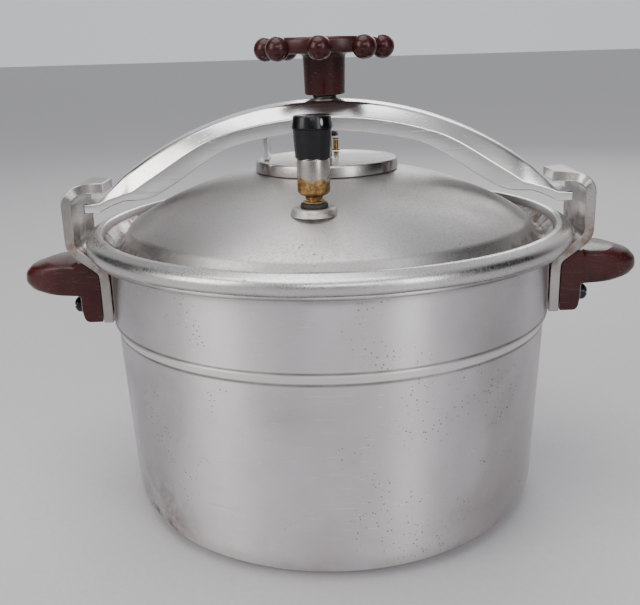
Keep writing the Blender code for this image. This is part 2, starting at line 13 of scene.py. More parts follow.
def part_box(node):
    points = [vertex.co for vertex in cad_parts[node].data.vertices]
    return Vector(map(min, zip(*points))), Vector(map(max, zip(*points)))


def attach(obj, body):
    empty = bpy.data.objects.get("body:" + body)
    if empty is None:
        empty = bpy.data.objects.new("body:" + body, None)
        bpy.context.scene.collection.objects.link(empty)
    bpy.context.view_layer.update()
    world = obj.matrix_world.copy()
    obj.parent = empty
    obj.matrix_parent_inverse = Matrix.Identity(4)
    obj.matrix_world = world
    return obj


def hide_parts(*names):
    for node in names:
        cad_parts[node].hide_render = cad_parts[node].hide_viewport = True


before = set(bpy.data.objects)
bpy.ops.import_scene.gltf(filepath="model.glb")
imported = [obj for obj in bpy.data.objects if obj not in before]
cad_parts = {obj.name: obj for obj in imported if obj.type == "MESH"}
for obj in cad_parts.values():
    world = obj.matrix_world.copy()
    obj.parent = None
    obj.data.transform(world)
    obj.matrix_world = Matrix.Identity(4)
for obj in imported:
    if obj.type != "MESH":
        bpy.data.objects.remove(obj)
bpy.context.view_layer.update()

# Sizes read from the frame
POT_LOW, POT_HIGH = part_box("pot_body")
LID_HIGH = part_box("lid_shell")[1]
DISC_LOW, DISC_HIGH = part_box("pressure_disc")
KNOB_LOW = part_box("star_knob")[0]
WEIGHT_LOW, WEIGHT_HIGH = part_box("valve_weight")
CAP_LOW, CAP_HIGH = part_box("valve_cap")
HOOK_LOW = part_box("right_hook_bracket")[0]
GRIP_LOW, GRIP_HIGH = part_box("right_handle")
EAR_LOW, EAR_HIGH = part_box("disc_guide_ear")
PIN_LOW, PIN_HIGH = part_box("disc_stop_pin")
ARCH_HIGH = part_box("clamp_arch")[1]

ROUND_STEPS = 160
VALVE = Vector(((WEIGHT_LOW.x + WEIGHT_HIGH.x) / 2.0, (WEIGHT_LOW.y + WEIGHT_HIGH.y) / 2.0, 0.0))


# ---------------------------------------------------------------- mesh helpers

def rounded(corners, steps=6):
    """Closed outline through (x, y, radius) corners, each corner rounded to about its radius."""
    points = []
    count = len(corners)
    for index, (x, y, radius) in enumerate(corners):
        here = Vector((x, y))
        before = Vector(corners[index - 1][:2])
        after = Vector(corners[(index + 1) % count][:2])
        if radius <= 0.0:
            points.append(here)
            continue
        into = here - before
        away = after - here
        reach = radius * math.tan(into.angle(away) / 2.0)
        reach = min(reach, 0.48 * into.length, 0.48 * away.length)
        start = here - into.normalized() * reach
        end = here + away.normalized() * reach
        for step in range(steps + 1):
            share = step / steps
            points.append(start.lerp(here, share).lerp(here.lerp(end, share), share))
    return points


def make_object(name, bm, sharp_deg=38.0):
    bmesh.ops.remove_doubles(bm, verts=bm.verts, dist=1e-6)
    bmesh.ops.recalc_face_normals(bm, faces=bm.faces)
    mesh = bpy.data.meshes.new(name)
    bm.to_mesh(mesh)
    bm.free()
    mesh.shade_smooth()
    mesh.set_sharp_from_angle(angle=math.radians(sharp_deg))
    item = bpy.data.objects.new(name, mesh)
    bpy.context.scene.collection.objects.link(item)
    return item


def ring_of(bm, radius, height, steps):
    if radius < 1e-6:
        return [bm.verts.new((0.0, 0.0, height))]
    ring = []
    for i in range(steps):
        angle = 2.0 * math.pi / steps * i
        ring.append(bm.verts.new((radius * math.cos(angle), radius * math.sin(angle), height)))
    return ring


def bridge(bm, first, second):
    steps = max(len(first), len(second))
    for i in range(steps):
        after = (i + 1) % steps
        if len(first) == 1:
            bm.faces.new((first[0], second[i], second[after]))
        elif len(second) == 1:
            bm.faces.new((first[i], second[0], first[after]))
        else:
            bm.faces.new((first[i], second[i], second[after], first[after]))


def turned(name, outline, steps=ROUND_STEPS, place=(0.0, 0.0, 0.0)):
    """Solid of revolution about Z from a closed outline of (radius, height) points."""
    bm = bmesh.new()
    rings = [ring_of(bm, point[0], point[1], steps) for point in outline]
    for first, second in zip(rings, rings[1:] + rings[:1]):
        if len(first) > 1 or len(second) > 1:
            bridge(bm, first, second)
    bmesh.ops.translate(bm, vec=place, verts=bm.verts)
    return make_object(name, bm)


def lofted(name, outlines, sharp_deg=38.0):
    """Closed solid through outlines that have the same number of points."""
    bm = bmesh.new()
    loops = [[bm.verts.new(point) for point in outline] for outline in outlines]
    for first, second in zip(loops, loops[1:]):
        for i in range(len(first)):
            after = (i + 1) % len(first)
            bm.faces.new((first[i], first[after], second[after], second[i]))
    bm.faces.new(loops[0])
    bm.faces.new(reversed(loops[-1]))
    return make_object(name, bm, sharp_deg)


def bevel(item, width, segments=3, angle_deg=40.0):
    modifier = item.modifiers.new("edges", "BEVEL")
    modifier.width = width
    modifier.segments = segments
    modifier.limit_method = "ANGLE"
    modifier.angle_limit = math.radians(angle_deg)
    modifier.harden_normals = False
    return item


def combine(item, helper, operation):
    """Boolean with a helper object, applied at once; the helper is removed."""
    modifier = item.modifiers.new("combine", "BOOLEAN")
    modifier.operation = operation
    modifier.solver = "EXACT"
    modifier.object = helper
    apply_modifiers(item)
    bpy.data.objects.remove(helper, do_unlink=True)


def apply_modifiers(item):
    graph = bpy.context.evaluated_depsgraph_get()
    mesh = bpy.data.meshes.new_from_object(item.evaluated_get(graph))
    item.modifiers.clear()
    item.data = mesh


def dress(item, node, material, body):
    """Give a piece its material and its body, and hide the CAD node that it stands for."""
    item.data.materials.clear()
    item.data.materials.append(material)
    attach(item, body)
    if node:
        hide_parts(node)
    return item


# ---------------------------------------------------------------- pot

BASE_RADIUS = 0.1098
BASE_CORNER = 0.0155
LOWER_WALL_RADIUS = 0.1130
UPPER_WALL_RADIUS = 0.1146
STEP_BOTTOM = 0.0989
STEP_TOP = 0.1038
POT_WALL = 0.0024
POT_FLOOR = 0.0030
FLANGE_THICKNESS = 0.0020


def build_pot():
    top = POT_HIGH.z
    flange = POT_HIGH.x
    under = top - FLANGE_THICKNESS
    inner_base = BASE_RADIUS - POT_WALL
    corners = [
        (0.0, 0.0, 0.0),
        (0.060, 0.0, 0.0),
        (BASE_RADIUS - 0.0005, 0.0, BASE_CORNER),
        (LOWER_WALL_RADIUS, STEP_BOTTOM, 0.0009),
        (UPPER_WALL_RADIUS + 0.0002, STEP_TOP - 0.0008, 0.0010),
        (UPPER_WALL_RADIUS, STEP_TOP + 0.0012, 0.0006),
        (UPPER_WALL_RADIUS, under, 0.0032),
        (flange, under, 0.0007),
        (flange, top, 0.0007),
        (UPPER_WALL_RADIUS - POT_WALL, top, 0.0010),
        (UPPER_WALL_RADIUS - POT_WALL, STEP_TOP, 0.0016),
        (LOWER_WALL_RADIUS - POT_WALL, STEP_BOTTOM, 0.0016),
        (inner_base - 0.0005, POT_FLOOR, BASE_CORNER - POT_WALL),
        (0.0, POT_FLOOR, 0.0),
    ]
    return turned("pot_shell", rounded(corners, 10))


# ---------------------------------------------------------------- lid

DOME_DROP = 0.0240
DOME_POWER = 2.5
DOME_EDGE = 0.1000
LID_WALL = 0.0022
GROOVE_FLOOR = 0.1410
BOSS_RADIUS = 0.0093
BOSS_TOP = 0.1664
STEM_HOLE = 0.0043


def dome_height(radius):
    return LID_HIGH.z - DOME_DROP * (radius / DOME_EDGE) ** DOME_POWER


def build_lid():
    top = [(DOME_EDGE * i / 40.0, dome_height(DOME_EDGE * i / 40.0)) for i in range(40)]
    rim = LID_HIGH.x
    crest = 0.1494
    seam = POT_HIGH.z + 0.0003
    corners = [
        (*top[-1], 0.0),
        (0.1030, 0.1499, 0.0060),
        (0.1085, 0.1415, 0.0022),
        (0.1112, GROOVE_FLOOR - 0.0004, 0.0022),
        (0.1157, 0.1456, 0.0),
        (0.1160, 0.1454, 0.0),
        (0.1163, 0.1460, 0.0),
        (0.1172, crest, 0.0022),
        (0.1196, crest, 0.0030),
        (rim, 0.1466, 0.0048),
        (rim, seam, 0.0009),
        (0.1219, seam, 0.0),
        (0.1219, 0.1440, 0.0006),
        (0.1154, 0.1440, 0.0008),
        (0.1114, 0.1392, 0.0015),
        (0.1088, 0.1390, 0.0015),
        (0.1016, 0.1476, 0.0060),
    ]
    under = [(radius, dome_height(radius + 0.0012) - LID_WALL) for radius, _ in reversed(top[3:-2:3])]
    outline = top[:-1] + [tuple(point) for point in rounded(corners, 8)] + under
    lid = turned("lid_dome", outline + [(0.0, LID_HIGH.z - LID_WALL)])
    return lid


def build_vent_boss():
    """Raised seat round the vent, whose skirt dips into the dome."""
    low = dome_height(VALVE.length) - 0.0075
    corners = [
        (STEM_HOLE, low, 0.0),
        (BOSS_RADIUS, low, 0.0008),
        (BOSS_RADIUS, BOSS_TOP - 0.0040, 0.0),
        (BOSS_RADIUS + 0.0022, BOSS_TOP - 0.0028, 0.0),
        (BOSS_RADIUS + 0.0004, BOSS_TOP + 0.0002, 0.0016),
        (BOSS_RADIUS - 0.0016, BOSS_TOP + 0.0006, 0.0012),
        (BOSS_RADIUS - 0.0022, BOSS_TOP, 0.0006),
        (STEM_HOLE, BOSS_TOP, 0.0),
    ]
    return turned("vent_boss", rounded(corners, 5), 64, VALVE)


# ---------------------------------------------------------------- vent valve

def build_weight():
    bottom = WEIGHT_LOW.z
    wide = (WEIGHT_HIGH.x - WEIGHT_LOW.x) / 2.0
    shoulder = CAP_LOW.z - 0.0004
    corners = [
        (0.0027, bottom, 0.0),
        (0.0036, bottom, 0.0003),
        (0.0040, bottom + 0.0014, 0.0006),
        (wide - 0.0012, bottom + 0.0022, 0.0005),
        (wide, bottom + 0.0036, 0.0008),
        (wide, shoulder, 0.0003),
        (0.0055, shoulder, 0.0),
        (0.0055, WEIGHT_HIGH.z, 0.0003),
        (0.0, WEIGHT_HIGH.z, 0.0),
        (0.0, 0.1890, 0.0),
        (0.0027, 0.1890, 0.0),
    ]
    return turned("weight_body", rounded(corners, 4), 96, VALVE)


def build_cap():
    low = CAP_LOW.z
    high = CAP_HIGH.z
    wide = (CAP_HIGH.x - CAP_LOW.x) / 2.0
    corners = [
        (0.0058, low, 0.0),
        (0.0078, low, 0.0004),
        (0.0085, high - 0.0066, 0.0003),
        (0.0086, high - 0.0062, 0.0002),
        (wide, high - 0.0054, 0.0006),
        (wide - 0.0002, high - 0.0040, 0.0012),
        (0.0082, high, 0.0012),
        (0.0060, high - 0.0002, 0.0010),
        (0.0, high - 0.0003, 0.0),
        (0.0, 0.1970, 0.0),
        (0.0058, 0.1970, 0.0),
    ]
    return turned("weight_cap", rounded(corners, 5), 96, VALVE)


def build_vent_seal():
    low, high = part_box("vent_seal")
    wide = (high.x - low.x) / 2.0
    corners = [
        (STEM_HOLE, low.z, 0.0),
        (wide, low.z, 0.0006),
        (wide - 0.0004, high.z, 0.0008),
        (STEM_HOLE, high.z, 0.0),
    ]
    return turned("vent_washer", rounded(corners, 5), 64, VALVE)


# ---------------------------------------------------------------- clamp arch and screw

ARCH_TOP = 0.2102
ARCH_RADIUS = 0.1739
ARCH_BEND = 0.1040
ARCH_HALF_WIDTH = ARCH_HIGH.y
ARCH_SHEET = 0.0030
ARCH_DEPTH = 0.0155
ARCH_DEEPENING = 0.0066
TAB_TOP = 0.1612
TAB_THICKNESS = 0.0048
TAB_END = ARCH_HIGH.x
THREAD_RADIUS = 0.0064
THREAD_PITCH = 0.0030


def blend(value, low, high):
    """Smooth step from 0 at low to 1 at high."""
    part = min(max((value - low) / (high - low), 0.0), 1.0)
    return part * part * (3.0 - 2.0 * part)


def arch_height(across):
    """Height of the arch's crown: a circle, then a straight run that eases into the level tab."""
    bowed = min(across, ARCH_BEND)
    height = ARCH_TOP - ARCH_RADIUS + math.sqrt(ARCH_RADIUS ** 2 - bowed ** 2)
    height -= (across - bowed) * 1.05
    above = height - TAB_TOP
    return TAB_TOP + (above + math.sqrt(above ** 2 + 4.0 * 0.0008 ** 2)) / 2.0


def arch_section(x, shrink=0.0):
    """Channel section with sloping shoulders; it deepens outwards and closes up into the tab."""
    across = abs(x)
    tab = blend(across, 0.0980, 0.1200)
    depth = ARCH_DEPTH + ARCH_DEEPENING * blend(across, 0.0450, 0.0830)
    depth += (TAB_THICKNESS - ARCH_DEPTH - ARCH_DEEPENING) * blend(across, 0.0860, 0.1220) + shrink
    bowed = min(across, ARCH_BEND)
    slope = bowed / math.sqrt(ARCH_RADIUS ** 2 - bowed ** 2)
    sheet = ARCH_SHEET * math.sqrt(1.0 + slope ** 2) * (1.0 - tab) + 0.0040 * tab
    edge = (0.0084 + 0.0036 * blend(across, 0.0550, 0.0900)) * (1.0 - tab) + 0.0006 * tab + shrink
    crown = 0.0095 * (1.0 - tab) + (ARCH_HALF_WIDTH - 0.0012) * tab
    drop = 0.0012 * (1.0 - tab) + shrink
    under = max(min(edge + sheet * 0.45, depth - 0.0006), sheet)
    half = ARCH_HALF_WIDTH - shrink
    wall = 0.0026
    inner_crown = min(crown - 0.0005, half - wall - 0.0006)
    corners = [
        (-half, -depth, 0.0007),
        (-half, -edge, 0.0020 - 0.0014 * tab),
        (-crown, -drop, 0.0046 - 0.0040 * tab),
        (0.0, -shrink, 0.0300),
        (crown, -drop, 0.0046 - 0.0040 * tab),
        (half, -edge, 0.0020 - 0.0014 * tab),
        (half, -depth, 0.0007),
        (half - wall, -depth, 0.0007),
        (half - wall, -under, 0.0012),
        (inner_crown, -drop - sheet, 0.0012),
        (0.0, -sheet, 0.0),
        (-inner_crown, -drop - sheet, 0.0012),
        (wall - half, -under, 0.0012),
        (wall - half, -depth, 0.0007),
    ]
    top = arch_height(across)
    return [(x, point.x, top + point.y) for point in rounded(corners, 5)]


def build_arch():
    steps = 72
    half = [TAB_END * (i / steps) for i in range(steps)]
    half += [TAB_END - 0.0004, TAB_END]
    sections = []
    for x in [-value for value in reversed(half)] + half[1:]:
        shrink = 0.0004 if abs(x) == TAB_END else 0.0
        sections.append(arch_section(x, shrink))
    arch = lofted("arch_bar", sections)
    bm = bmesh.new()
    bmesh.ops.create_cone(bm, cap_ends=True, segments=64, radius1=0.0081, radius2=0.0081, depth=0.02)
    bmesh.ops.translate(bm, vec=(0.0, 0.0, 0.2080), verts=bm.verts)
    combine(arch, make_object("arch_hole", bm), "DIFFERENCE")
    arch.data.shade_smooth()
    arch.data.set_sharp_from_angle(angle=math.radians(38.0))
    return arch


def build_bush():
    low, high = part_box("arch_nut")
    shoulder = ARCH_TOP - ARCH_SHEET - 0.0006
    corners = [
        (0.0067, low.z, 0.0),
        (0.0100, low.z, 0.0008),
        (0.0100, shoulder - 0.0030, 0.0004),
        (0.0084, shoulder - 0.0008, 0.0003),
        (0.0078, shoulder - 0.0006, 0.0),
        (0.0078, high.z, 0.0004),
        (0.0067, high.z, 0.0),
    ]
    return turned("arch_bush", rounded(corners, 4), 64)


def thread_radius(angle, height, bottom, top):
    """Radius of a triangular thread that fades out at both ends."""
    share = height / THREAD_PITCH - angle / (2.0 * math.pi)
    ridge = abs((share % 1.0) * 2.0 - 1.0)
    fade = blend(height, bottom, bottom + 0.0010) * (1.0 - blend(height, top - 0.0006, top))
    return THREAD_RADIUS - 0.0008 * (1.0 - ridge) * fade


def build_spindle():
    low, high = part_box("clamp_spindle")
    foot = DISC_HIGH.z + 0.0003
    top = KNOB_LOW.z - 0.0003
    head_top = low.z + 0.0009
    plain = [(0.0, low.z), (0.0030, low.z), (0.0030, head_top), (0.0019, head_top)]
    plain += [(0.0019, foot), (0.0031, foot), (0.0031, 0.1898)]
    bm = bmesh.new()
    steps = 48
    rings = [ring_of(bm, radius, height, steps) for radius, height in plain]
    bottom = 0.1912
    rows = 84
    for row in range(rows + 1):
        height = bottom + (top - bottom) * row / rows
        ring = []
        for i in range(steps):
            angle = 2.0 * math.pi * i / steps
            radius = thread_radius(angle, height, bottom, top)
            ring.append(bm.verts.new((radius * math.cos(angle), radius * math.sin(angle), height)))
        rings.append(ring)
    for radius, height in ((0.0040, top), (0.0040, high.z), (0.0, high.z)):
        rings.append(ring_of(bm, radius, height, steps))
    for first, second in zip(rings, rings[1:]):
        bridge(bm, first, second)
    return make_object("spindle_rod", bm, 50.0)


# ---------------------------------------------------------------- knob

LOBE_RING = 0.0295
LOBE_RADIUS = 0.0059
LOBE_COUNT = 8
LOBE_START_DEG = -94.0
KNOB_MIDDLE = 0.2345
NECK_RADIUS = 0.0104


def build_knob():
    top = KNOB_MIDDLE + 0.0056
    under = KNOB_MIDDLE - 0.0026
    low = KNOB_LOW.z
    edge = LOBE_RING - 0.0012
    corners = [
        (0.0043, low, 0.0),
        (NECK_RADIUS - 0.0002, low, 0.0008),
        (NECK_RADIUS + 0.0003, under, 0.0024),
        (edge, under, 0.0026),
        (edge, top - 0.0004, 0.0024),
        (0.0180, top, 0.0),
        (0.0098, top - 0.0002, 0.0010),
        (0.0088, top - 0.0014, 0.0006),
        (0.0088, 0.2340, 0.0005),
        (0.0043, 0.2340, 0.0),
    ]
    knob = turned("knob_star", rounded(corners, 6), 96)
    bm = bmesh.new()
    for number in range(LOBE_COUNT):
        angle = math.radians(LOBE_START_DEG + 360.0 * number / LOBE_COUNT)
        ball = bmesh.ops.create_uvsphere(bm, u_segments=32, v_segments=20, radius=LOBE_RADIUS)["verts"]
        place = Vector((LOBE_RING * math.cos(angle), LOBE_RING * math.sin(angle), KNOB_MIDDLE))
        bmesh.ops.translate(bm, vec=place, verts=ball)
    combine(knob, make_object("knob_balls", bm), "UNION")
    knob.data.shade_smooth()
    knob.data.set_sharp_from_angle(angle=math.radians(30.0))
    return knob


def build_ring(name, node, segments=48):
    """Washer with eased edges in the place of a CAD washer about the Z axis."""
    low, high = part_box(node)
    inner = {"knob_washer": 0.0043, "disc_washer": 0.0023}[node]
    wide = high.x
    corners = [(inner, low.z, 0.0), (wide, low.z, 0.0002), (wide, high.z, 0.0003), (inner, high.z, 0.0002)]
    return turned(name, rounded(corners, 3), segments)


# ---------------------------------------------------------------- pressure disc

DISC_SHEET = 0.0012


def build_disc():
    wide = DISC_HIGH.x
    top = DISC_HIGH.z
    low = DISC_LOW.z
    corners = [
        (0.0023, top - 0.0002, 0.0),
        (wide - 0.0055, top - 0.0002, 0.0),
        (wide - 0.0040, top, 0.0),
        (wide - 0.0006, top, 0.0011),
        (wide, low, 0.0002),
        (wide - DISC_SHEET, low, 0.0002),
        (wide - DISC_SHEET - 0.0006, top - DISC_SHEET, 0.0006),
        (0.0023, top - DISC_SHEET - 0.0001, 0.0),
    ]
    return turned("foot_disc", rounded(corners, 6), 128)


def build_ear():
    low = EAR_LOW.z
    high = EAR_HIGH.z
    front = EAR_LOW.y
    back = EAR_HIGH.y
    corners = [(front, low, 0.0), (back, low, 0.0), (back, high, 0.0030), (front, high, 0.0030)]
    outline = rounded(corners, 5)
    sides = [[(x, point.x, point.y) for point in outline] for x in (EAR_LOW.x, EAR_HIGH.x)]
    return bevel(lofted("foot_ear", sides), 0.0004)


def build_stop_pin():
    low = PIN_LOW.z
    high = PIN_HIGH.z
    place = ((PIN_LOW.x + PIN_HIGH.x) / 2.0, (PIN_LOW.y + PIN_HIGH.y) / 2.0, 0.0)
    corners = [
        (0.0, low, 0.0),
        (0.0022, low, 0.0002),
        (0.0022, low + 0.0008, 0.0003),
        (0.00145, low + 0.0010, 0.0002),
        (0.00145, high, 0.0001),
        (0.0, high, 0.0),
    ]
    return turned("stop_pin_body", rounded(corners, 3), 32, place)


def build_pin_tip():
    low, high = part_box("stop_pin_tip")
    place = ((low.x + high.x) / 2.0, (low.y + high.y) / 2.0, 0.0)
    corners = [(0.0, low.z, 0.0), (0.0017, low.z, 0.0001), (0.0017, high.z - 0.0004, 0.0003),
               (0.0010, high.z, 0.0003), (0.0, high.z, 0.0)]
    return turned("stop_pin_cap", rounded(corners, 3), 32, place)


# ---------------------------------------------------------------- brackets and handles

BRACKET_THICKNESS = 0.0051
BRACKET_HALF_WIDTH = 0.0200
HOOK_HALF_WIDTH = 0.0098
BRACKET_BOTTOM = HOOK_LOW.z
LEG_OUT = 0.1176
POST_OUT = 0.1328
POST_FOOT = 0.1386
LEG_HEAD = 0.1267
HOOK_LEVEL = 0.1686
HOOK_END = 0.1155
SADDLE_LOW = 0.1190
SADDLE_HIGH = 0.1330
SADDLE_SHARE = 0.45
SCREW_HEIGHT = 0.1038
SCREW_TIP = 0.1153


def saddle(across, height, radius):
    """How far a strap on the pot's wall falls back at a distance from its middle."""
    wrap = SADDLE_SHARE * (1.0 - blend(height, SADDLE_LOW, SADDLE_HIGH))
    return wrap * (radius - math.sqrt(radius ** 2 - across ** 2))


def fillet(before, corner, after, radius, steps):
    """Points of an arc that rounds one corner of a path."""
    into = (Vector(corner) - Vector(before)).normalized()
    away = (Vector(after) - Vector(corner)).normalized()
    bend = into.angle(away)
    reach = radius * math.tan(bend / 2.0)
    start = Vector(corner) - into * reach
    end = Vector(corner) + away * reach
    centre = Vector(corner) + (away - into).normalized() * (radius / math.cos(bend / 2.0))
    points = []
    for step in range(steps + 1):
        middle = start.lerp(end, step / steps) - centre
        points.append(centre + middle.normalized() * radius)
    return points


def run(start, end, steps):
    """Evenly spaced points from start to end, both left out."""
    return [Vector(start).lerp(Vector(end), (step + 1) / (steps + 1)) for step in range(steps)]


def bracket_path():
    """Middle line of the bracket, from the hook's end to the foot, as (out, height)."""
    hook_end = (HOOK_END, HOOK_LEVEL)
    head = (POST_OUT, HOOK_LEVEL)
    elbow = (POST_OUT, POST_FOOT)
    knee = (LEG_OUT, LEG_HEAD)
    foot = (LEG_OUT, BRACKET_BOTTOM)
    top_bend = fillet(hook_end, head, elbow, 0.0078, 12)
    upper_bend = fillet(head, elbow, knee, 0.0072, 10)
    lower_bend = fillet(elbow, knee, foot, 0.0062, 10)
    path = [Vector(hook_end)] + run(hook_end, top_bend[0], 4) + top_bend
    path += run(top_bend[-1], upper_bend[0], 6) + upper_bend + lower_bend
    path += run(lower_bend[-1], foot, 6) + [Vector(foot)]
    return path


def offset_line(path, distance):
    """The path moved sideways, away from the pot when distance is positive."""
    moved = []
    for index, point in enumerate(path):
        before = path[max(index - 1, 0)]
        after = path[min(index + 1, len(path) - 1)]
        along = (after - before).normalized()
        moved.append(point + Vector((-along.y, along.x)) * distance)
    return moved


def bracket_half_width(out, height):
    if height < 0.1600:
        return BRACKET_HALF_WIDTH
    spread = blend(out, 0.1180, 0.1330)
    return HOOK_HALF_WIDTH + (BRACKET_HALF_WIDTH - HOOK_HALF_WIDTH) * spread


def bracket_grid(side, line, path, columns):
    grid = []
    for point, middle in zip(line, path):
        half = bracket_half_width(middle.x, middle.y)
        row = []
        for column in range(columns + 1):
            y = half * (2.0 * column / columns - 1.0)
            row.append((side * (point.x - saddle(y, middle.y, point.x)), y, point.y))
        grid.append(row)
    return grid


def build_bracket(side, name):
    path = bracket_path()
    columns = 12
    bm = bmesh.new()
    grids = []
    for distance in (BRACKET_THICKNESS / 2.0, -BRACKET_THICKNESS / 2.0):
        grid = bracket_grid(side, offset_line(path, distance), path, columns)
        grids.append([[bm.verts.new(point) for point in row] for row in grid])
    outer, inner = grids
    rows = len(path)
    for i in range(rows - 1):
        for j in range(columns):
            bm.faces.new((outer[i][j], outer[i + 1][j], outer[i + 1][j + 1], outer[i][j + 1]))
            bm.faces.new((inner[i][j], inner[i][j + 1], inner[i + 1][j + 1], inner[i + 1][j]))
        for j in (0, columns):
            bm.faces.new((outer[i][j], inner[i][j], inner[i + 1][j], outer[i + 1][j]))
    for j in range(columns):
        for i in (0, rows - 1):
            bm.faces.new((outer[i][j], outer[i][j + 1], inner[i][j + 1], inner[i][j]))
    return bevel(make_object(name, bm, 50.0), 0.0005, 2, 60.0)


GRIP_HALF_WIDTH = 0.0182
HANDLE_HALF_WIDTH = GRIP_HIGH.y
HANDLE_TIP = GRIP_HIGH.x
HANDLE_FACE = 0.1347
GRIP_TOP = 0.1315
GRIP_UNDER = 0.1135


def handle_side_view(path):
    """Leg and grip outlines as (out, height): the leg follows the bracket, the grip stands off it."""
    hug = offset_line(path, BRACKET_THICKNESS / 2.0 + 0.0006)
    top = GRIP_TOP - 0.0004
    inner = [(point.x, point.y) for point in hug if 0.1010 < point.y < top - 0.0008]
    crest = [point for point in hug if point.y > top][-1]
    below = Vector(inner[0])
    corner = crest.lerp(below, (crest.y - top + 0.0006) / (crest.y - below.y))
    face = HANDLE_FACE
    low = GRIP_LOW.z
    inner_foot = hug[-1].x
    corners = [
        (inner_foot, low, 0.0006),
        (face - 0.0010, low, 0.0032),
        (face, 0.1060, 0.0),
        (face, GRIP_UNDER + 0.0002, 0.0017),
        (0.1450, GRIP_UNDER, 0.0),
        (0.1562, GRIP_UNDER + 0.0002, 0.0050),
        (0.1612, 0.1154, 0.0040),
        (HANDLE_TIP, 0.1188, 0.0038),
        (HANDLE_TIP - 0.0006, 0.1238, 0.0050),
        (0.1596, 0.1278, 0.0060),
        (0.1510, GRIP_TOP - 0.0010, 0.0080),
        (0.1400, GRIP_TOP, 0.0060),
        (0.1340, GRIP_TOP - 0.0002, 0.0),
        (corner.x + 0.0016, top, 0.0008),
        (corner.x, corner.y, 0.0),
    ]
    return [tuple(point) for point in rounded(corners, 5)] + inner


def handle_row(outline, side, y):
    """The side view at a distance from the middle: the grip is round in plan, the leg is not."""
    part = min(abs(y) / GRIP_HALF_WIDTH, 0.9995)
    start = HANDLE_FACE + 0.0003
    reach = (1.0 - part ** 2.4) ** (1.0 / 2.4)
    row = []
    for out, height in outline:
        if out > start:
            out = start + (out - start) * reach
            crown = GRIP_TOP - 0.0023 * part * part - 0.0012 * (1.0 - reach) * blend(part, 0.8, 1.0)
            height = min(height, crown)
        if out > 0.1300:
            out -= 0.0037 * (y / HANDLE_HALF_WIDTH) ** 2
        out -= saddle(y, height, LEG_OUT)
        row.append((side * out, y, height))
    return row


def build_handle(side, name):
    outline = handle_side_view(bracket_path())
    columns = 40
    places = [HANDLE_HALF_WIDTH * math.sin(math.pi * (i / columns - 0.5)) for i in range(columns + 1)]
    handle = lofted(name, [handle_row(outline, side, y) for y in places], 34.0)
    bm = bmesh.new()
    bmesh.ops.create_cone(bm, cap_ends=True, segments=40, radius1=0.0028, radius2=0.0028, depth=0.04)
    bmesh.ops.rotate(bm, matrix=Matrix.Rotation(math.pi / 2.0, 3, "Y"), verts=bm.verts)
    bmesh.ops.translate(bm, vec=(side * 0.1300, 0.0, SCREW_HEIGHT), verts=bm.verts)
    combine(handle, make_object(name + "_hole", bm), "DIFFERENCE")
    handle.data.set_sharp_from_angle(angle=math.radians(34.0))
    return bevel(handle, 0.0006, 2, 50.0)


def build_handle_screw(side, word):
    """Round-headed screw that closes the handle's foot, with a slot across its head."""
    low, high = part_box(f"{word}_handle_screw")
    tip = SCREW_TIP
    face = HANDLE_FACE + 0.0003
    top = max(abs(low.x), abs(high.x))
    corners = [
        (0.0, 0.0, 0.0),
        (0.0025, 0.0, 0.0003),
        (0.0025, face - tip, 0.0),
        (0.0044, face - tip, 0.0003),
        (0.0042, top - tip - 0.0016, 0.0016),
        (0.0026, top - tip, 0.0020),
        (0.0, top - tip, 0.0),
    ]
    screw = turned(f"{word}_screw_head", rounded(corners, 4), 40)
    bm = bmesh.new()
    bmesh.ops.create_cube(bm, size=1.0)
    bmesh.ops.scale(bm, vec=(0.0012, 0.0120, 0.0024), verts=bm.verts)
    bmesh.ops.translate(bm, vec=(0.0, 0.0, top - tip), verts=bm.verts)
    combine(screw, make_object("slot", bm), "DIFFERENCE")
    lie_down = Matrix.Rotation(side * math.pi / 2.0, 4, "Y")
    screw.data.transform(Matrix.Translation((side * tip, 0.0, SCREW_HEIGHT)) @ lie_down)
    return screw


# ---------------------------------------------------------------- material helpers

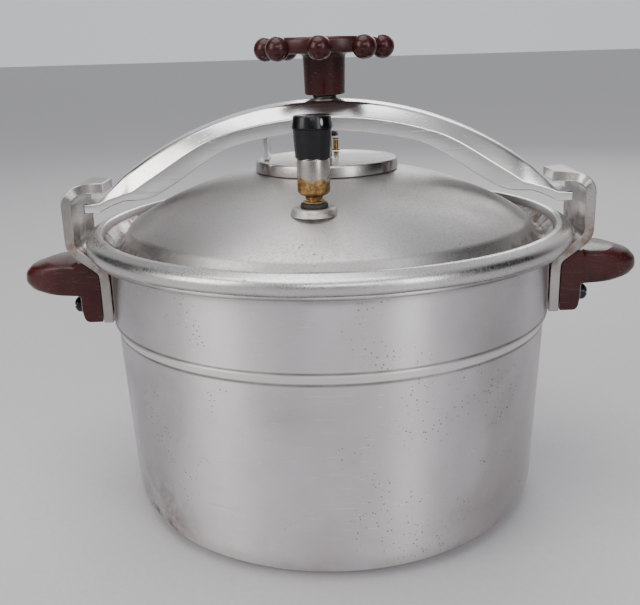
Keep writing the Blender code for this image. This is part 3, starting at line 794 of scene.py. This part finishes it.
class Nodes:
    """A new material and short ways to add nodes to it."""

    def __init__(self, name, roughness, metallic=0.0, color=(0.5, 0.5, 0.5)):
        self.material = bpy.data.materials.new(name)
        self.material.use_nodes = True
        self.tree = self.material.node_tree
        self.shader = self.tree.nodes["Principled BSDF"]
        self.set("Roughness", roughness)
        self.set("Metallic", metallic)
        self.set("Base Color", (*color, 1.0))
        self.place = self.add("ShaderNodeTexCoord").outputs["Object"]

    def add(self, kind):
        return self.tree.nodes.new(kind)

    def link(self, source, target):
        self.tree.links.new(source, target)

    def set(self, socket, value):
        self.shader.inputs[socket].default_value = value

    def feed(self, source, socket):
        self.link(source, self.shader.inputs[socket])

    def put(self, socket, value):
        """Link a node output to a socket, or set the socket to a number or colour."""
        if isinstance(value, bpy.types.NodeSocket):
            self.link(value, socket)
        elif isinstance(value, tuple) and len(value) == 3 and socket.type == "RGBA":
            socket.default_value = (*value, 1.0)
        else:
            socket.default_value = value

    def math(self, operation, first, second=0.0):
        node = self.add("ShaderNodeMath")
        node.operation = operation
        self.put(node.inputs[0], first)
        self.put(node.inputs[1], second)
        return node.outputs[0]

    def vector(self, operation, first, second=(0.0, 0.0, 0.0)):
        node = self.add("ShaderNodeVectorMath")
        node.operation = operation
        self.put(node.inputs[0], first)
        self.put(node.inputs[1], second)
        return node.outputs["Value" if operation in ("LENGTH", "DISTANCE", "DOT_PRODUCT") else "Vector"]

    def stretch(self, scale):
        """The object's coordinates scaled unevenly, for grain that runs one way."""
        node = self.add("ShaderNodeMapping")
        node.inputs["Scale"].default_value = scale
        self.link(self.place, node.inputs["Vector"])
        return node.outputs["Vector"]

    def noise(self, scale, detail=4.0, source=None, distortion=0.0, rough=0.5):
        node = self.add("ShaderNodeTexNoise")
        node.inputs["Scale"].default_value = scale
        node.inputs["Detail"].default_value = detail
        node.inputs["Roughness"].default_value = rough
        node.inputs["Distortion"].default_value = distortion
        self.put(node.inputs["Vector"], source or self.place)
        return node.outputs["Fac"]

    def cells(self, scale):
        node = self.add("ShaderNodeTexVoronoi")
        node.inputs["Scale"].default_value = scale
        self.link(self.place, node.inputs["Vector"])
        return node.outputs["Distance"]

    def line(self, value, at, inner, outer):
        """Mask of a line where a value passes a place: full within inner, none past outer."""
        return self.ramp(self.math("ABSOLUTE", self.math("SUBTRACT", value, at)), inner, outer, 1.0, 0.0)

    def ramp(self, value, low, high, start=0.0, end=1.0):
        """Linear ramp: start at low, end at high, clamped."""
        node = self.add("ShaderNodeMapRange")
        self.put(node.inputs["Value"], value)
        node.inputs["From Min"].default_value = low
        node.inputs["From Max"].default_value = high
        node.inputs["To Min"].default_value = start
        node.inputs["To Max"].default_value = end
        return node.outputs["Result"]

    def mix(self, factor, first, second, kind="MIX"):
        node = self.add("ShaderNodeMix")
        node.data_type = "RGBA"
        node.blend_type = kind
        self.put(node.inputs[0], factor)
        self.put(node.inputs[6], first)
        self.put(node.inputs[7], second)
        return node.outputs[2]

    def bump(self, height, distance, strength=1.0, normal=None):
        node = self.add("ShaderNodeBump")
        node.inputs["Strength"].default_value = strength
        node.inputs["Distance"].default_value = distance
        self.link(height, node.inputs["Height"])
        if normal is not None:
            self.link(normal, node.inputs["Normal"])
        return node.outputs["Normal"]

    def axis(self, name):
        return self.vector_parts(self.place)[name]

    def from_axis(self, x, y):
        """Distance from the Z axis."""
        return self.math("SQRT", self.math("ADD", self.math("MULTIPLY", x, x), self.math("MULTIPLY", y, y)))

    def ring_grain(self, across, along, centre=(0.0, 0.0, 0.0)):
        """Coordinates in which noise makes fine lines that run round a vertical axis."""
        x, y, z = self.vector_parts(self.vector("SUBTRACT", self.place, centre))
        radius = self.from_axis(x, y)
        safe_radius = self.math("MAXIMUM", radius, 0.0005)
        node = self.add("ShaderNodeCombineXYZ")
        self.put(node.inputs[0], self.math("MULTIPLY", self.math("DIVIDE", x, safe_radius), along))
        self.put(node.inputs[1], self.math("MULTIPLY", self.math("DIVIDE", y, safe_radius), along))
        self.put(node.inputs[2], self.math("MULTIPLY", self.math("ADD", radius, z), across))
        return node.outputs[0]

    def vector_parts(self, source):
        node = self.add("ShaderNodeSeparateXYZ")
        self.link(source, node.inputs[0])
        return node.outputs

    def brushed_round(self, strength):
        """Highlights that spread across grooves which run round the vertical axis."""
        node = self.add("ShaderNodeTangent")
        node.direction_type = "RADIAL"
        node.axis = "Z"
        self.feed(node.outputs[0], "Tangent")
        self.set("Anisotropic", strength)
        self.set("Anisotropic Rotation", 0.25)

    def dots(self, scale, size, cover_scale, cover_low):
        """Mask of small round dots that gather where a broad noise is high."""
        spots = self.ramp(self.cells(scale), size * 0.55, size, 1.0, 0.0)
        cover = self.ramp(self.noise(cover_scale, 3.0), cover_low, cover_low + 0.06)
        return self.math("MULTIPLY", spots, cover)

    def scratches(self, rotation, long_scale, thin_scale, share):
        """Mask of thin straight scratches that all run roughly one way."""
        node = self.add("ShaderNodeMapping")
        node.inputs["Rotation"].default_value = rotation
        node.inputs["Scale"].default_value = (long_scale, thin_scale, thin_scale)
        self.put(node.inputs["Vector"], self.place)
        return self.ramp(self.noise(1.0, 2.0, node.outputs["Vector"]), share, share + 0.05)


# ---------------------------------------------------------------- materials

def pot_metal():
    n = Nodes("satin aluminium", 0.30, 1.0)
    height = n.axis("Z")
    grain = n.noise(1.0, 3.0, n.ring_grain(2600.0, 5.0))
    coarse = n.noise(1.0, 2.0, n.ring_grain(420.0, 3.0))
    cloud = n.noise(17.0, 5.0, distortion=0.6)
    smear = n.noise(1.0, 4.0, n.stretch((30.0, 30.0, 9.0)))
    tone = n.mix(n.ramp(cloud, 0.35, 0.70), (0.74, 0.715, 0.725), (0.62, 0.592, 0.600))
    tone = n.mix(n.ramp(smear, 0.48, 0.75, 0.0, 0.35), tone, (0.60, 0.54, 0.53))
    swirl = n.math("MAXIMUM", n.scratches((0.4, 0.2, 0.9), 14.0, 900.0, 0.66),
                   n.scratches((1.3, 0.5, 2.2), 18.0, 1100.0, 0.67))
    tone = n.mix(n.math("MULTIPLY", swirl, 0.40), tone, (0.92, 0.91, 0.90))
    blotch = n.ramp(n.noise(9.0, 6.0, distortion=0.8, rough=0.6), 0.50, 0.66)
    tone = n.mix(n.math("MULTIPLY", blotch, 0.35), tone, (0.55, 0.495, 0.49))
    pits = n.dots(420.0, 0.20, 24.0, 0.54)
    tone = n.mix(n.math("MULTIPLY", pits, 0.8), tone, (0.10, 0.075, 0.06))
    # Painted highlight: the sloping step between the lower and upper wall is made lighter in the colour.
    painted_ridge_highlight = n.math("MULTIPLY", n.ramp(height, STEP_BOTTOM, STEP_BOTTOM + 0.0008),
                   n.ramp(height, STEP_TOP - 0.0006, STEP_TOP + 0.0002, 1.0, 0.0))
    tone = n.mix(n.math("MULTIPLY", painted_ridge_highlight, 0.65), tone, (0.93, 0.89, 0.87))
    # Painted shade: thin dark lines along the bottom and top creases of the step.
    painted_shade_lines = n.math("MAXIMUM", n.line(height, STEP_BOTTOM - 0.0002, 0.0003, 0.0011),
                   n.line(height, STEP_TOP + 0.0006, 0.0002, 0.0008))
    rim = POT_HIGH.z
    # Painted shadow on the wall just below the rim, standing in part for grime too.
    painted_rim_shadow = n.math("MULTIPLY", n.ramp(height, 0.1340, rim - 0.0022),
                       n.ramp(height, rim - 0.0006, rim - 0.0014))
    # Noise breaks up the painted shade lines and the painted shadow under the rim before they darken the
    # colour.
    patchy = n.ramp(n.noise(55.0, 5.0), 0.30, 0.60, 0.45, 0.85)
    painted_shade_lines = n.math("MULTIPLY", n.math("MAXIMUM", painted_shade_lines, painted_rim_shadow), patchy)
    tone = n.mix(painted_shade_lines, tone, (0.20, 0.17, 0.16))
    burnt = n.ramp(n.vector("DISTANCE", n.place, (-0.085, -0.066, 0.006)), 0.010, 0.036, 1.0, 0.0)
    burnt = n.math("MULTIPLY", burnt, n.ramp(n.noise(70.0, 6.0, rough=0.65), 0.40, 0.62))
    foot = n.math("MULTIPLY", n.ramp(height, 0.004, 0.016, 1.0, 0.0), n.ramp(n.noise(46.0, 5.0), 0.42, 0.72))
    stain = n.math("MAXIMUM", n.math("MULTIPLY", burnt, 0.75), n.math("MULTIPLY", foot, 0.45))
    n.feed(n.mix(stain, tone, (0.20, 0.13, 0.09)), "Base Color")
    rough = n.math("ADD", n.ramp(cloud, 0.3, 0.7, 0.33, 0.45), n.ramp(grain, 0.3, 0.7, -0.04, 0.06))
    rough = n.math("ADD", rough, n.math("MULTIPLY", stain, 0.25))
    n.feed(rough, "Roughness")
    n.brushed_round(0.9)
    relief = n.math("ADD", grain, n.math("MULTIPLY", coarse, 0.8))
    normal = n.bump(relief, 0.00002, 0.55)
    normal = n.bump(n.math("SUBTRACT", n.math("MULTIPLY", swirl, 0.3), pits), 0.00006, 0.7, normal)
    n.feed(n.bump(n.noise(38.0, 2.0), 0.0006, 0.25, normal), "Normal")
    return n.material


def lid_metal():
    n = Nodes("dull aluminium", 0.40, 1.0)
    x, y, height = n.vector_parts(n.place)
    radius = n.from_axis(x, y)
    speckle = n.noise(900.0, 2.0)
    cloud = n.noise(22.0, 5.0, distortion=0.4)
    grain = n.noise(1.0, 2.0, n.ring_grain(1500.0, 4.0))
    tone = n.mix(n.ramp(cloud, 0.35, 0.68), (0.52, 0.50, 0.495), (0.40, 0.378, 0.372))
    tone = n.mix(n.ramp(speckle, 0.45, 0.62, 0.0, 0.40), tone, (0.33, 0.315, 0.31))
    pits = n.dots(330.0, 0.17, 30.0, 0.55)
    chips = n.dots(120.0, 0.10, 40.0, 0.60)
    chip = n.ramp(n.vector("DISTANCE", n.place, (-0.0345, -0.1196, 0.1475)), 0.0010, 0.0015, 1.0, 0.0)
    dark = n.math("MAXIMUM", n.math("MULTIPLY", chips, 0.9), chip)
    dark = n.math("MAXIMUM", n.math("MULTIPLY", pits, 0.8), dark)
    tone = n.mix(dark, tone, (0.09, 0.045, 0.030))
    in_groove = n.math("MULTIPLY", n.ramp(height, 0.1450, 0.1475, 1.0, 0.0), n.ramp(radius, 0.1030, 0.1060))
    in_groove = n.math("MULTIPLY", in_groove, n.ramp(radius, 0.1165, 0.1155))
    at_ends = n.ramp(n.math("ABSOLUTE", x), 0.060, 0.100, 0.30, 1.0)
    patchy = n.ramp(n.noise(90.0, 6.0, rough=0.7), 0.44, 0.60)
    residue = n.math("MULTIPLY", n.math("MULTIPLY", in_groove, at_ends), patchy)
    tone = n.mix(n.math("MULTIPLY", residue, 0.75), tone, (0.17, 0.10, 0.06))
    bare = n.ramp(radius, 0.1155, 0.1175)
    tone = n.mix(n.math("MULTIPLY", bare, 0.6), tone, (0.70, 0.68, 0.675))
    # Painted shade, in part grime: the foot of the rim by the seam is darkened and broken up by noise.
    worn = n.ramp(n.noise(60.0, 5.0), 0.30, 0.60, 0.40, 0.90)
    seam = n.math("MULTIPLY", n.ramp(height, 0.1424, 0.1413), worn)
    tone = n.mix(n.math("MULTIPLY", seam, 0.8), tone, (0.12, 0.10, 0.09))
    # Painted shade: a thin dark line in the small notch on the inner side of the rim's crest.
    painted_crease_shade = n.ramp(n.math("ABSOLUTE", n.math("SUBTRACT", radius, 0.1160)), 0.0002, 0.0009, 0.75, 0.0)
    tone = n.mix(painted_crease_shade, tone, (0.16, 0.12, 0.10))
    n.feed(tone, "Base Color")
    rough = n.math("ADD", n.ramp(cloud, 0.3, 0.7, 0.36, 0.46), n.ramp(speckle, 0.4, 0.6, -0.03, 0.06))
    rough = n.math("SUBTRACT", rough, n.math("MULTIPLY", bare, 0.12))
    n.feed(n.math("ADD", rough, n.math("MULTIPLY", residue, 0.3)), "Roughness")
    n.brushed_round(0.4)
    normal = n.bump(n.math("ADD", speckle, n.math("MULTIPLY", grain, 0.6)), 0.00003, 0.6)
    n.feed(n.bump(n.math("SUBTRACT", 0.0, dark), 0.00012, 0.7, normal), "Normal")
    return n.material


def boss_metal():
    n = Nodes("cast aluminium boss", 0.45, 1.0)
    cast = n.noise(420.0, 5.0)
    tone = n.mix(n.ramp(cast, 0.35, 0.65), (0.58, 0.56, 0.555), (0.46, 0.435, 0.43))
    grime = n.math("MULTIPLY", n.ramp(n.noise(260.0, 5.0), 0.50, 0.64), 0.7)
    n.feed(n.mix(grime, tone, (0.22, 0.15, 0.10)), "Base Color")
    n.feed(n.ramp(cast, 0.3, 0.7, 0.42, 0.60), "Roughness")
    n.feed(n.bump(cast, 0.00012, 0.6), "Normal")
    return n.material


def polished_steel(name, bright, dim):
    n = Nodes(name, 0.20, 1.0)
    cloud = n.noise(26.0, 5.0, distortion=0.5)
    hair = n.noise(1.0, 3.0, n.stretch((12.0, 1900.0, 1900.0)))
    tone = n.mix(n.ramp(cloud, 0.35, 0.70), bright, dim)
    marks = n.math("MAXIMUM", n.scratches((0.1, 0.3, 0.5), 26.0, 1000.0, 0.66),
                   n.scratches((0.6, 0.2, 2.4), 30.0, 1200.0, 0.67))
    tone = n.mix(n.math("MULTIPLY", marks, 0.30), tone, (0.90, 0.89, 0.88))
    specks = n.dots(480.0, 0.15, 34.0, 0.58)
    tone = n.mix(n.math("MULTIPLY", specks, 0.75), tone, (0.13, 0.08, 0.05))
    n.feed(tone, "Base Color")
    rough = n.math("ADD", n.ramp(cloud, 0.3, 0.7, 0.15, 0.27), n.ramp(hair, 0.3, 0.7, -0.02, 0.04))
    n.feed(n.math("ADD", rough, n.math("MULTIPLY", specks, 0.3)), "Roughness")
    normal = n.bump(hair, 0.00001, 0.4)
    n.feed(n.bump(n.math("SUBTRACT", marks, specks), 0.00004, 0.4, normal), "Normal")
    return n.material


def rust_mask(n, height, low, high):
    """Rust that gathers between two heights, in clumps."""
    band = n.math("MULTIPLY", n.ramp(height, low - 0.008, low + 0.004),
                  n.ramp(height, high - 0.004, high + 0.010, 1.0, 0.0))
    clumps = n.ramp(n.noise(120.0, 7.0, rough=0.68), 0.46, 0.60)
    return n.math("MULTIPLY", band, clumps)


def bracket_face():
    n = Nodes("worn bracket steel", 0.34, 1.0)
    height = n.axis("Z")
    cloud = n.noise(40.0, 5.0)
    hair = n.noise(1.0, 3.0, n.stretch((900.0, 30.0, 900.0)))
    tone = n.mix(n.ramp(cloud, 0.35, 0.68), (0.46, 0.44, 0.42), (0.30, 0.28, 0.26))
    rust = rust_mask(n, height, 0.124, 0.146)
    specks = n.dots(420.0, 0.18, 40.0, 0.52)
    rust = n.math("MAXIMUM", n.math("MULTIPLY", rust, 0.75), n.math("MULTIPLY", specks, 0.7))
    n.feed(n.mix(rust, tone, (0.17, 0.085, 0.045)), "Base Color")
    n.feed(n.math("SUBTRACT", 1.0, n.math("MULTIPLY", rust, 0.8)), "Metallic")
    rough = n.math("ADD", n.ramp(cloud, 0.3, 0.7, 0.26, 0.40), n.ramp(hair, 0.3, 0.7, -0.03, 0.05))
    n.feed(n.math("ADD", rough, n.math("MULTIPLY", rust, 0.35)), "Roughness")
    normal = n.bump(hair, 0.00002, 0.4)
    n.feed(n.bump(rust, 0.0001, 0.6, normal), "Normal")
    return n.material


def bakelite():
    n = Nodes("maroon bakelite", 0.20, 0.0)
    flow = n.noise(42.0, 6.0, distortion=1.6)
    fleck = n.noise(520.0, 3.0)
    haze = n.noise(30.0, 5.0)
    tone = n.mix(n.ramp(flow, 0.35, 0.70), (0.030, 0.0035, 0.0040), (0.052, 0.0075, 0.0080))
    tone = n.mix(n.ramp(fleck, 0.60, 0.72, 0.0, 0.30), tone, (0.085, 0.020, 0.018))
    dull = n.ramp(haze, 0.46, 0.66)
    tone = n.mix(n.math("MULTIPLY", dull, 0.10), tone, (0.10, 0.055, 0.052))
    marks = n.math("MAXIMUM", n.scratches((0.3, 0.1, 0.7), 60.0, 1100.0, 0.65),
                   n.scratches((0.9, 0.4, 2.0), 70.0, 1200.0, 0.66))
    tone = n.mix(n.math("MULTIPLY", marks, 0.07), tone, (0.28, 0.22, 0.20))
    n.feed(tone, "Base Color")
    rough = n.math("ADD", n.ramp(haze, 0.4, 0.7, 0.17, 0.27), n.ramp(fleck, 0.4, 0.7, -0.01, 0.03))
    n.feed(n.math("ADD", rough, n.math("MULTIPLY", marks, 0.15)), "Roughness")
    n.set("Specular IOR Level", 0.30)
    normal = n.bump(n.noise(60.0, 3.0), 0.00010, 0.25)
    n.feed(n.bump(n.math("ADD", fleck, marks), 0.00002, 0.4, normal), "Normal")
    return n.material


def cap_plastic():
    n = Nodes("black moulded plastic", 0.22, 0.0)
    grain = n.noise(700.0, 3.0)
    wear = n.noise(90.0, 5.0)
    tone = n.mix(n.ramp(wear, 0.45, 0.70), (0.005, 0.005, 0.007), (0.014, 0.0135, 0.015))
    # Painted reflection: a small upright light streak on the front of the collar, also made rougher.
    from_glint_centre = n.vector("SUBTRACT", n.place, (VALVE.x + 0.0040, VALVE.y - 0.0072, 0.2040))
    drop = n.vector("MULTIPLY", from_glint_centre, (1.0, 1.0, 0.40))
    painted_glint = n.ramp(n.vector("LENGTH", drop), 0.00055, 0.00085, 1.0, 0.0)
    n.feed(n.mix(n.math("MULTIPLY", painted_glint, 0.85), tone, (0.62, 0.61, 0.60)), "Base Color")
    n.feed(n.math("ADD", n.ramp(wear, 0.4, 0.7, 0.15, 0.30), n.math("MULTIPLY", painted_glint, 0.3)), "Roughness")
    n.set("Specular IOR Level", 0.32)
    normal = n.bump(grain, 0.00002, 0.4)
    n.feed(n.bump(wear, 0.0001, 0.2, normal), "Normal")
    return n.material


def weight_metal():
    """Nickel silver that has gone brown in the steam below its middle."""
    n = Nodes("steamed nickel silver", 0.24, 1.0)
    height = n.axis("Z")
    middle = (WEIGHT_LOW.z + CAP_LOW.z) / 2.0
    ragged = n.math("ADD", height, n.ramp(n.noise(260.0, 5.0), 0.3, 0.7, -0.0018, 0.0018))
    steamed = n.ramp(ragged, middle - 0.0006, middle + 0.0010, 1.0, 0.0)
    grain = n.noise(1.0, 3.0, n.ring_grain(5200.0, 3.0, (VALVE.x, VALVE.y, 0.0)))
    clean = n.mix(n.ramp(grain, 0.35, 0.65), (0.66, 0.63, 0.58), (0.50, 0.47, 0.43))
    crust = n.noise(520.0, 6.0, rough=0.7)
    brown = n.mix(n.ramp(crust, 0.40, 0.62), (0.52, 0.33, 0.14), (0.17, 0.075, 0.030))
    tone = n.mix(steamed, clean, brown)
    specks = n.dots(900.0, 0.20, 150.0, 0.50)
    n.feed(n.mix(n.math("MULTIPLY", specks, 0.7), tone, (0.10, 0.045, 0.02)), "Base Color")
    dull = n.math("MULTIPLY", steamed, n.ramp(crust, 0.3, 0.7, 0.05, 0.35))
    n.feed(n.math("ADD", n.ramp(grain, 0.3, 0.7, 0.17, 0.27), dull), "Roughness")
    relief = n.math("ADD", n.math("MULTIPLY", crust, steamed), n.math("MULTIPLY", grain, 0.2))
    n.feed(n.bump(relief, 0.00008, 0.6), "Normal")
    return n.material


def brass():
    n = Nodes("tarnished brass", 0.30, 1.0)
    cloud = n.noise(240.0, 6.0, rough=0.65)
    tone = n.mix(n.ramp(cloud, 0.38, 0.64), (0.62, 0.42, 0.17), (0.30, 0.17, 0.07))
    n.feed(tone, "Base Color")
    n.feed(n.ramp(cloud, 0.3, 0.7, 0.22, 0.46), "Roughness")
    n.feed(n.bump(cloud, 0.00006, 0.6), "Normal")
    return n.material


def dark_steel():
    n = Nodes("oiled dark steel", 0.34, 1.0)
    cloud = n.noise(150.0, 6.0)
    grime = n.ramp(n.noise(60.0, 5.0), 0.45, 0.65)
    tone = n.mix(n.ramp(cloud, 0.35, 0.65), (0.33, 0.315, 0.30), (0.20, 0.185, 0.17))
    n.feed(n.mix(n.math("MULTIPLY", grime, 0.55), tone, (0.055, 0.042, 0.034)), "Base Color")
    n.feed(n.ramp(cloud, 0.3, 0.7, 0.24, 0.44), "Roughness")
    n.feed(n.bump(cloud, 0.00005, 0.5), "Normal")
    return n.material


def rubber():
    n = Nodes("black rubber", 0.62, 0.0)
    grain = n.noise(900.0, 4.0)
    bloom = n.ramp(n.noise(80.0, 5.0), 0.45, 0.70)
    n.feed(n.mix(n.math("MULTIPLY", bloom, 0.5), (0.016, 0.016, 0.016), (0.050, 0.048, 0.046)), "Base Color")
    n.feed(n.ramp(grain, 0.3, 0.7, 0.52, 0.74), "Roughness")
    n.feed(n.bump(grain, 0.00004, 0.6), "Normal")
    return n.material


# ---------------------------------------------------------------- assembly

POT_METAL = pot_metal()
LID_METAL = lid_metal()
BOSS_METAL = boss_metal()
STEEL = polished_steel("polished steel", (0.90, 0.89, 0.885), (0.76, 0.74, 0.73))
DISC_STEEL = polished_steel("stained disc steel", (0.56, 0.53, 0.51), (0.40, 0.365, 0.34))
BRACKET_FACE = bracket_face()
BAKELITE = bakelite()
CAP_PLASTIC = cap_plastic()
WEIGHT_METAL = weight_metal()
BRASS = brass()
DARK_STEEL = dark_steel()
RUBBER = rubber()


def place_pieces():
    dress(build_pot(), "pot_body", POT_METAL, "root")
    lid = build_lid()
    boss = build_vent_boss()
    bm = bmesh.new()
    bmesh.ops.create_cone(bm, cap_ends=True, segments=64, radius1=STEM_HOLE, radius2=STEM_HOLE, depth=0.05)
    bmesh.ops.translate(bm, vec=(VALVE.x, VALVE.y, 0.165), verts=bm.verts)
    combine(lid, make_object("vent_hole", bm), "DIFFERENCE")
    lid.data.set_sharp_from_angle(angle=math.radians(38.0))
    dress(lid, "lid_shell", LID_METAL, "lid")
    dress(boss, None, BOSS_METAL, "lid")
    dress(build_weight(), "valve_weight", WEIGHT_METAL, "weight")
    dress(build_cap(), "valve_cap", CAP_PLASTIC, "weight")
    dress(build_vent_seal(), "vent_seal", RUBBER, "lid")
    dress(build_arch(), "clamp_arch", STEEL, "arch")
    dress(build_bush(), "arch_nut", DARK_STEEL, "arch")
    dress(build_spindle(), "clamp_spindle", DARK_STEEL, "screw")
    dress(build_knob(), "star_knob", BAKELITE, "screw")
    dress(build_ring("knob_ring", "knob_washer"), "knob_washer", STEEL, "screw")
    dress(build_disc(), "pressure_disc", DISC_STEEL, "foot")
    dress(build_ear(), "disc_guide_ear", STEEL, "foot")
    dress(build_stop_pin(), "disc_stop_pin", BRASS, "foot")
    dress(build_pin_tip(), "stop_pin_tip", DARK_STEEL, "foot")
    dress(build_ring("disc_ring", "disc_washer"), "disc_washer", STEEL, "foot")
    for side, word in ((-1, "left"), (1, "right")):
        bracket = build_bracket(side, f"{word}_strap")
        dress(bracket, f"{word}_hook_bracket", BRACKET_FACE, "root")
        dress(build_handle(side, f"{word}_grip"), f"{word}_handle", BAKELITE, "root")
        dress(build_handle_screw(side, word), f"{word}_handle_screw", CAP_PLASTIC, "root")


def paint_kept_nodes():
    """Nodes that keep their CAD mesh: small or hidden ones."""
    kept = {
        "lid_gasket": RUBBER,
        "vent_stem": BRASS,
        "vent_nut": BRASS,
        "valve_needle": DARK_STEEL,
        "knob_nut": STEEL,
    }
    for word in ("left", "right"):
        for number in (1, 2, 3):
            kept[f"{word}_rivet_{number}"] = DARK_STEEL
    for node, material in kept.items():
        mesh = bpy.data.objects[node].data
        mesh.materials.clear()
        mesh.materials.append(material)


# ---------------------------------------------------------------- floor, light and camera

def pale_floor():
    n = Nodes("pale floor", 0.55)
    paper = n.noise(300.0, 3.0)
    n.feed(n.mix(n.ramp(paper, 0.3, 0.7), (0.52, 0.508, 0.522), (0.55, 0.538, 0.552)), "Base Color")
    n.feed(n.bump(paper, 0.00005, 0.2), "Normal")
    n.set("Specular IOR Level", 0.25)
    bm = bmesh.new()
    bmesh.ops.create_grid(bm, x_segments=1, y_segments=1, size=30.0)
    floor = make_object("floor", bm)
    floor.location.z = POT_LOW.z - 0.0002
    floor.data.materials.append(n.material)


def studio_world():
    """Pale surroundings with a few broad, darker uprights that the metal can mirror."""
    world = bpy.data.worlds.new("studio")
    world.use_nodes = True
    bpy.context.scene.world = world
    tree = world.node_tree
    place = tree.nodes.new("ShaderNodeTexCoord")
    parts = tree.nodes.new("ShaderNodeSeparateXYZ")
    tree.links.new(place.outputs["Generated"], parts.inputs[0])
    angle = tree.nodes.new("ShaderNodeMath")
    angle.operation = "ARCTAN2"
    tree.links.new(parts.outputs["X"], angle.inputs[0])
    towards_front = tree.nodes.new("ShaderNodeMath")
    towards_front.operation = "MULTIPLY"
    tree.links.new(parts.outputs["Y"], towards_front.inputs[0])
    towards_front.inputs[1].default_value = -1.0
    tree.links.new(towards_front.outputs[0], angle.inputs[1])
    turn = tree.nodes.new("ShaderNodeMapRange")
    tree.links.new(angle.outputs[0], turn.inputs["Value"])
    turn.inputs["From Min"].default_value = -math.pi
    turn.inputs["From Max"].default_value = math.pi
    bands = tree.nodes.new("ShaderNodeValToRGB")
    tree.links.new(turn.outputs["Result"], bands.inputs["Fac"])
    # Compass angle in degrees from the front (-Y) towards +X, with brightness and warmth
    stops = [(-180, 1.00, -0.03), (-150, 0.95, -0.02), (-128, 0.02, 0.0), (-96, 0.03, 0.0), (-84, 1.10, 0.02),
             (-45, 1.20, 0.03), (-28, 0.85, 0.01), (-15, 0.20, -0.01), (0, 0.14, -0.03), (12, 0.22, -0.02),
             (22, 1.15, 0.0), (48, 1.10, 0.01), (64, 0.22, 0.0), (80, 0.01, 0.0), (106, 0.01, 0.0),
             (126, 0.70, 0.0), (150, 0.95, -0.02), (180, 1.00, -0.03)]
    ramp = bands.color_ramp
    while len(ramp.elements) < len(stops):
        ramp.elements.new(0.5)
    for element, (degrees, light, warm) in zip(ramp.elements, sorted(stops)):
        element.position = (degrees + 180.0) / 360.0
        element.color = (light + warm, light, light - warm, 1.0)
    lift = tree.nodes.new("ShaderNodeMapRange")
    tree.links.new(parts.outputs["Z"], lift.inputs["Value"])
    lift.inputs["From Min"].default_value = 0.60
    lift.inputs["From Max"].default_value = 0.95
    mix = tree.nodes.new("ShaderNodeMix")
    mix.data_type = "RGBA"
    tree.links.new(lift.outputs["Result"], mix.inputs[0])
    tree.links.new(bands.outputs["Color"], mix.inputs[6])
    mix.inputs[7].default_value = (0.85, 0.87, 0.90, 1.0)
    shade = tree.nodes["Background"]
    tree.links.new(mix.outputs[2], shade.inputs["Color"])
    shade.inputs["Strength"].default_value = 0.75


def area_light(name, place, aim, size, power, color=(1.0, 1.0, 1.0)):
    data = bpy.data.lights.new(name, "AREA")
    data.shape = "RECTANGLE"
    data.size, data.size_y = size
    data.energy = power
    data.color = color
    light = bpy.data.objects.new(name, data)
    bpy.context.scene.collection.objects.link(light)
    light.location = place
    light.rotation_euler = (Vector(aim) - Vector(place)).to_track_quat("-Z", "Y").to_euler()


def studio_lights():
    area_light("overhead softbox", (-0.15, -0.10, 1.30), (0.0, 0.0, 0.10), (1.0, 0.9), 9.0)
    area_light("left softbox", (-1.05, -0.65, 0.75), (0.0, 0.0, 0.12), (0.6, 0.9), 7.0, (1.0, 0.98, 0.95))
    area_light("right softbox", (0.75, -1.00, 0.60), (0.0, 0.0, 0.12), (0.35, 0.9), 4.0, (0.95, 0.98, 1.0))
    area_light("front softbox", (0.10, -1.40, 0.85), (0.0, 0.0, 0.12), (0.8, 0.35), 4.5)
    area_light("rear softbox", (0.30, 1.20, 0.80), (0.0, 0.0, 0.12), (0.9, 0.6), 5.0)


CAMERA_PLACE = Vector((-0.00011, -0.43573, 0.23305))
CAMERA_TURN_DEG = -0.72
CAMERA_DOWN_DEG = 16.842
CAMERA_ROLL_DEG = -1.689
CAMERA_LENS = 46.71


def photo_camera():
    data = bpy.data.cameras.new("camera")
    data.lens = CAMERA_LENS
    data.sensor_width = 36.0
    camera = bpy.data.objects.new("camera", data)
    bpy.context.scene.collection.objects.link(camera)
    yaw = math.radians(CAMERA_TURN_DEG)
    down = math.radians(CAMERA_DOWN_DEG)
    roll = math.radians(CAMERA_ROLL_DEG)
    forward = Vector((math.sin(yaw) * math.cos(down), math.cos(yaw) * math.cos(down), -math.sin(down)))
    right = Vector((math.cos(yaw), -math.sin(yaw), 0.0))
    up = right.cross(forward)
    rolled_right = right * math.cos(roll) + up * math.sin(roll)
    rolled_up = up * math.cos(roll) - right * math.sin(roll)
    turn = Matrix((rolled_right, rolled_up, -forward)).transposed()
    camera.matrix_world = Matrix.Translation(CAMERA_PLACE) @ turn.to_4x4()
    bpy.context.scene.camera = camera


place_pieces()
paint_kept_nodes()
pale_floor()
studio_world()
studio_lights()
photo_camera()
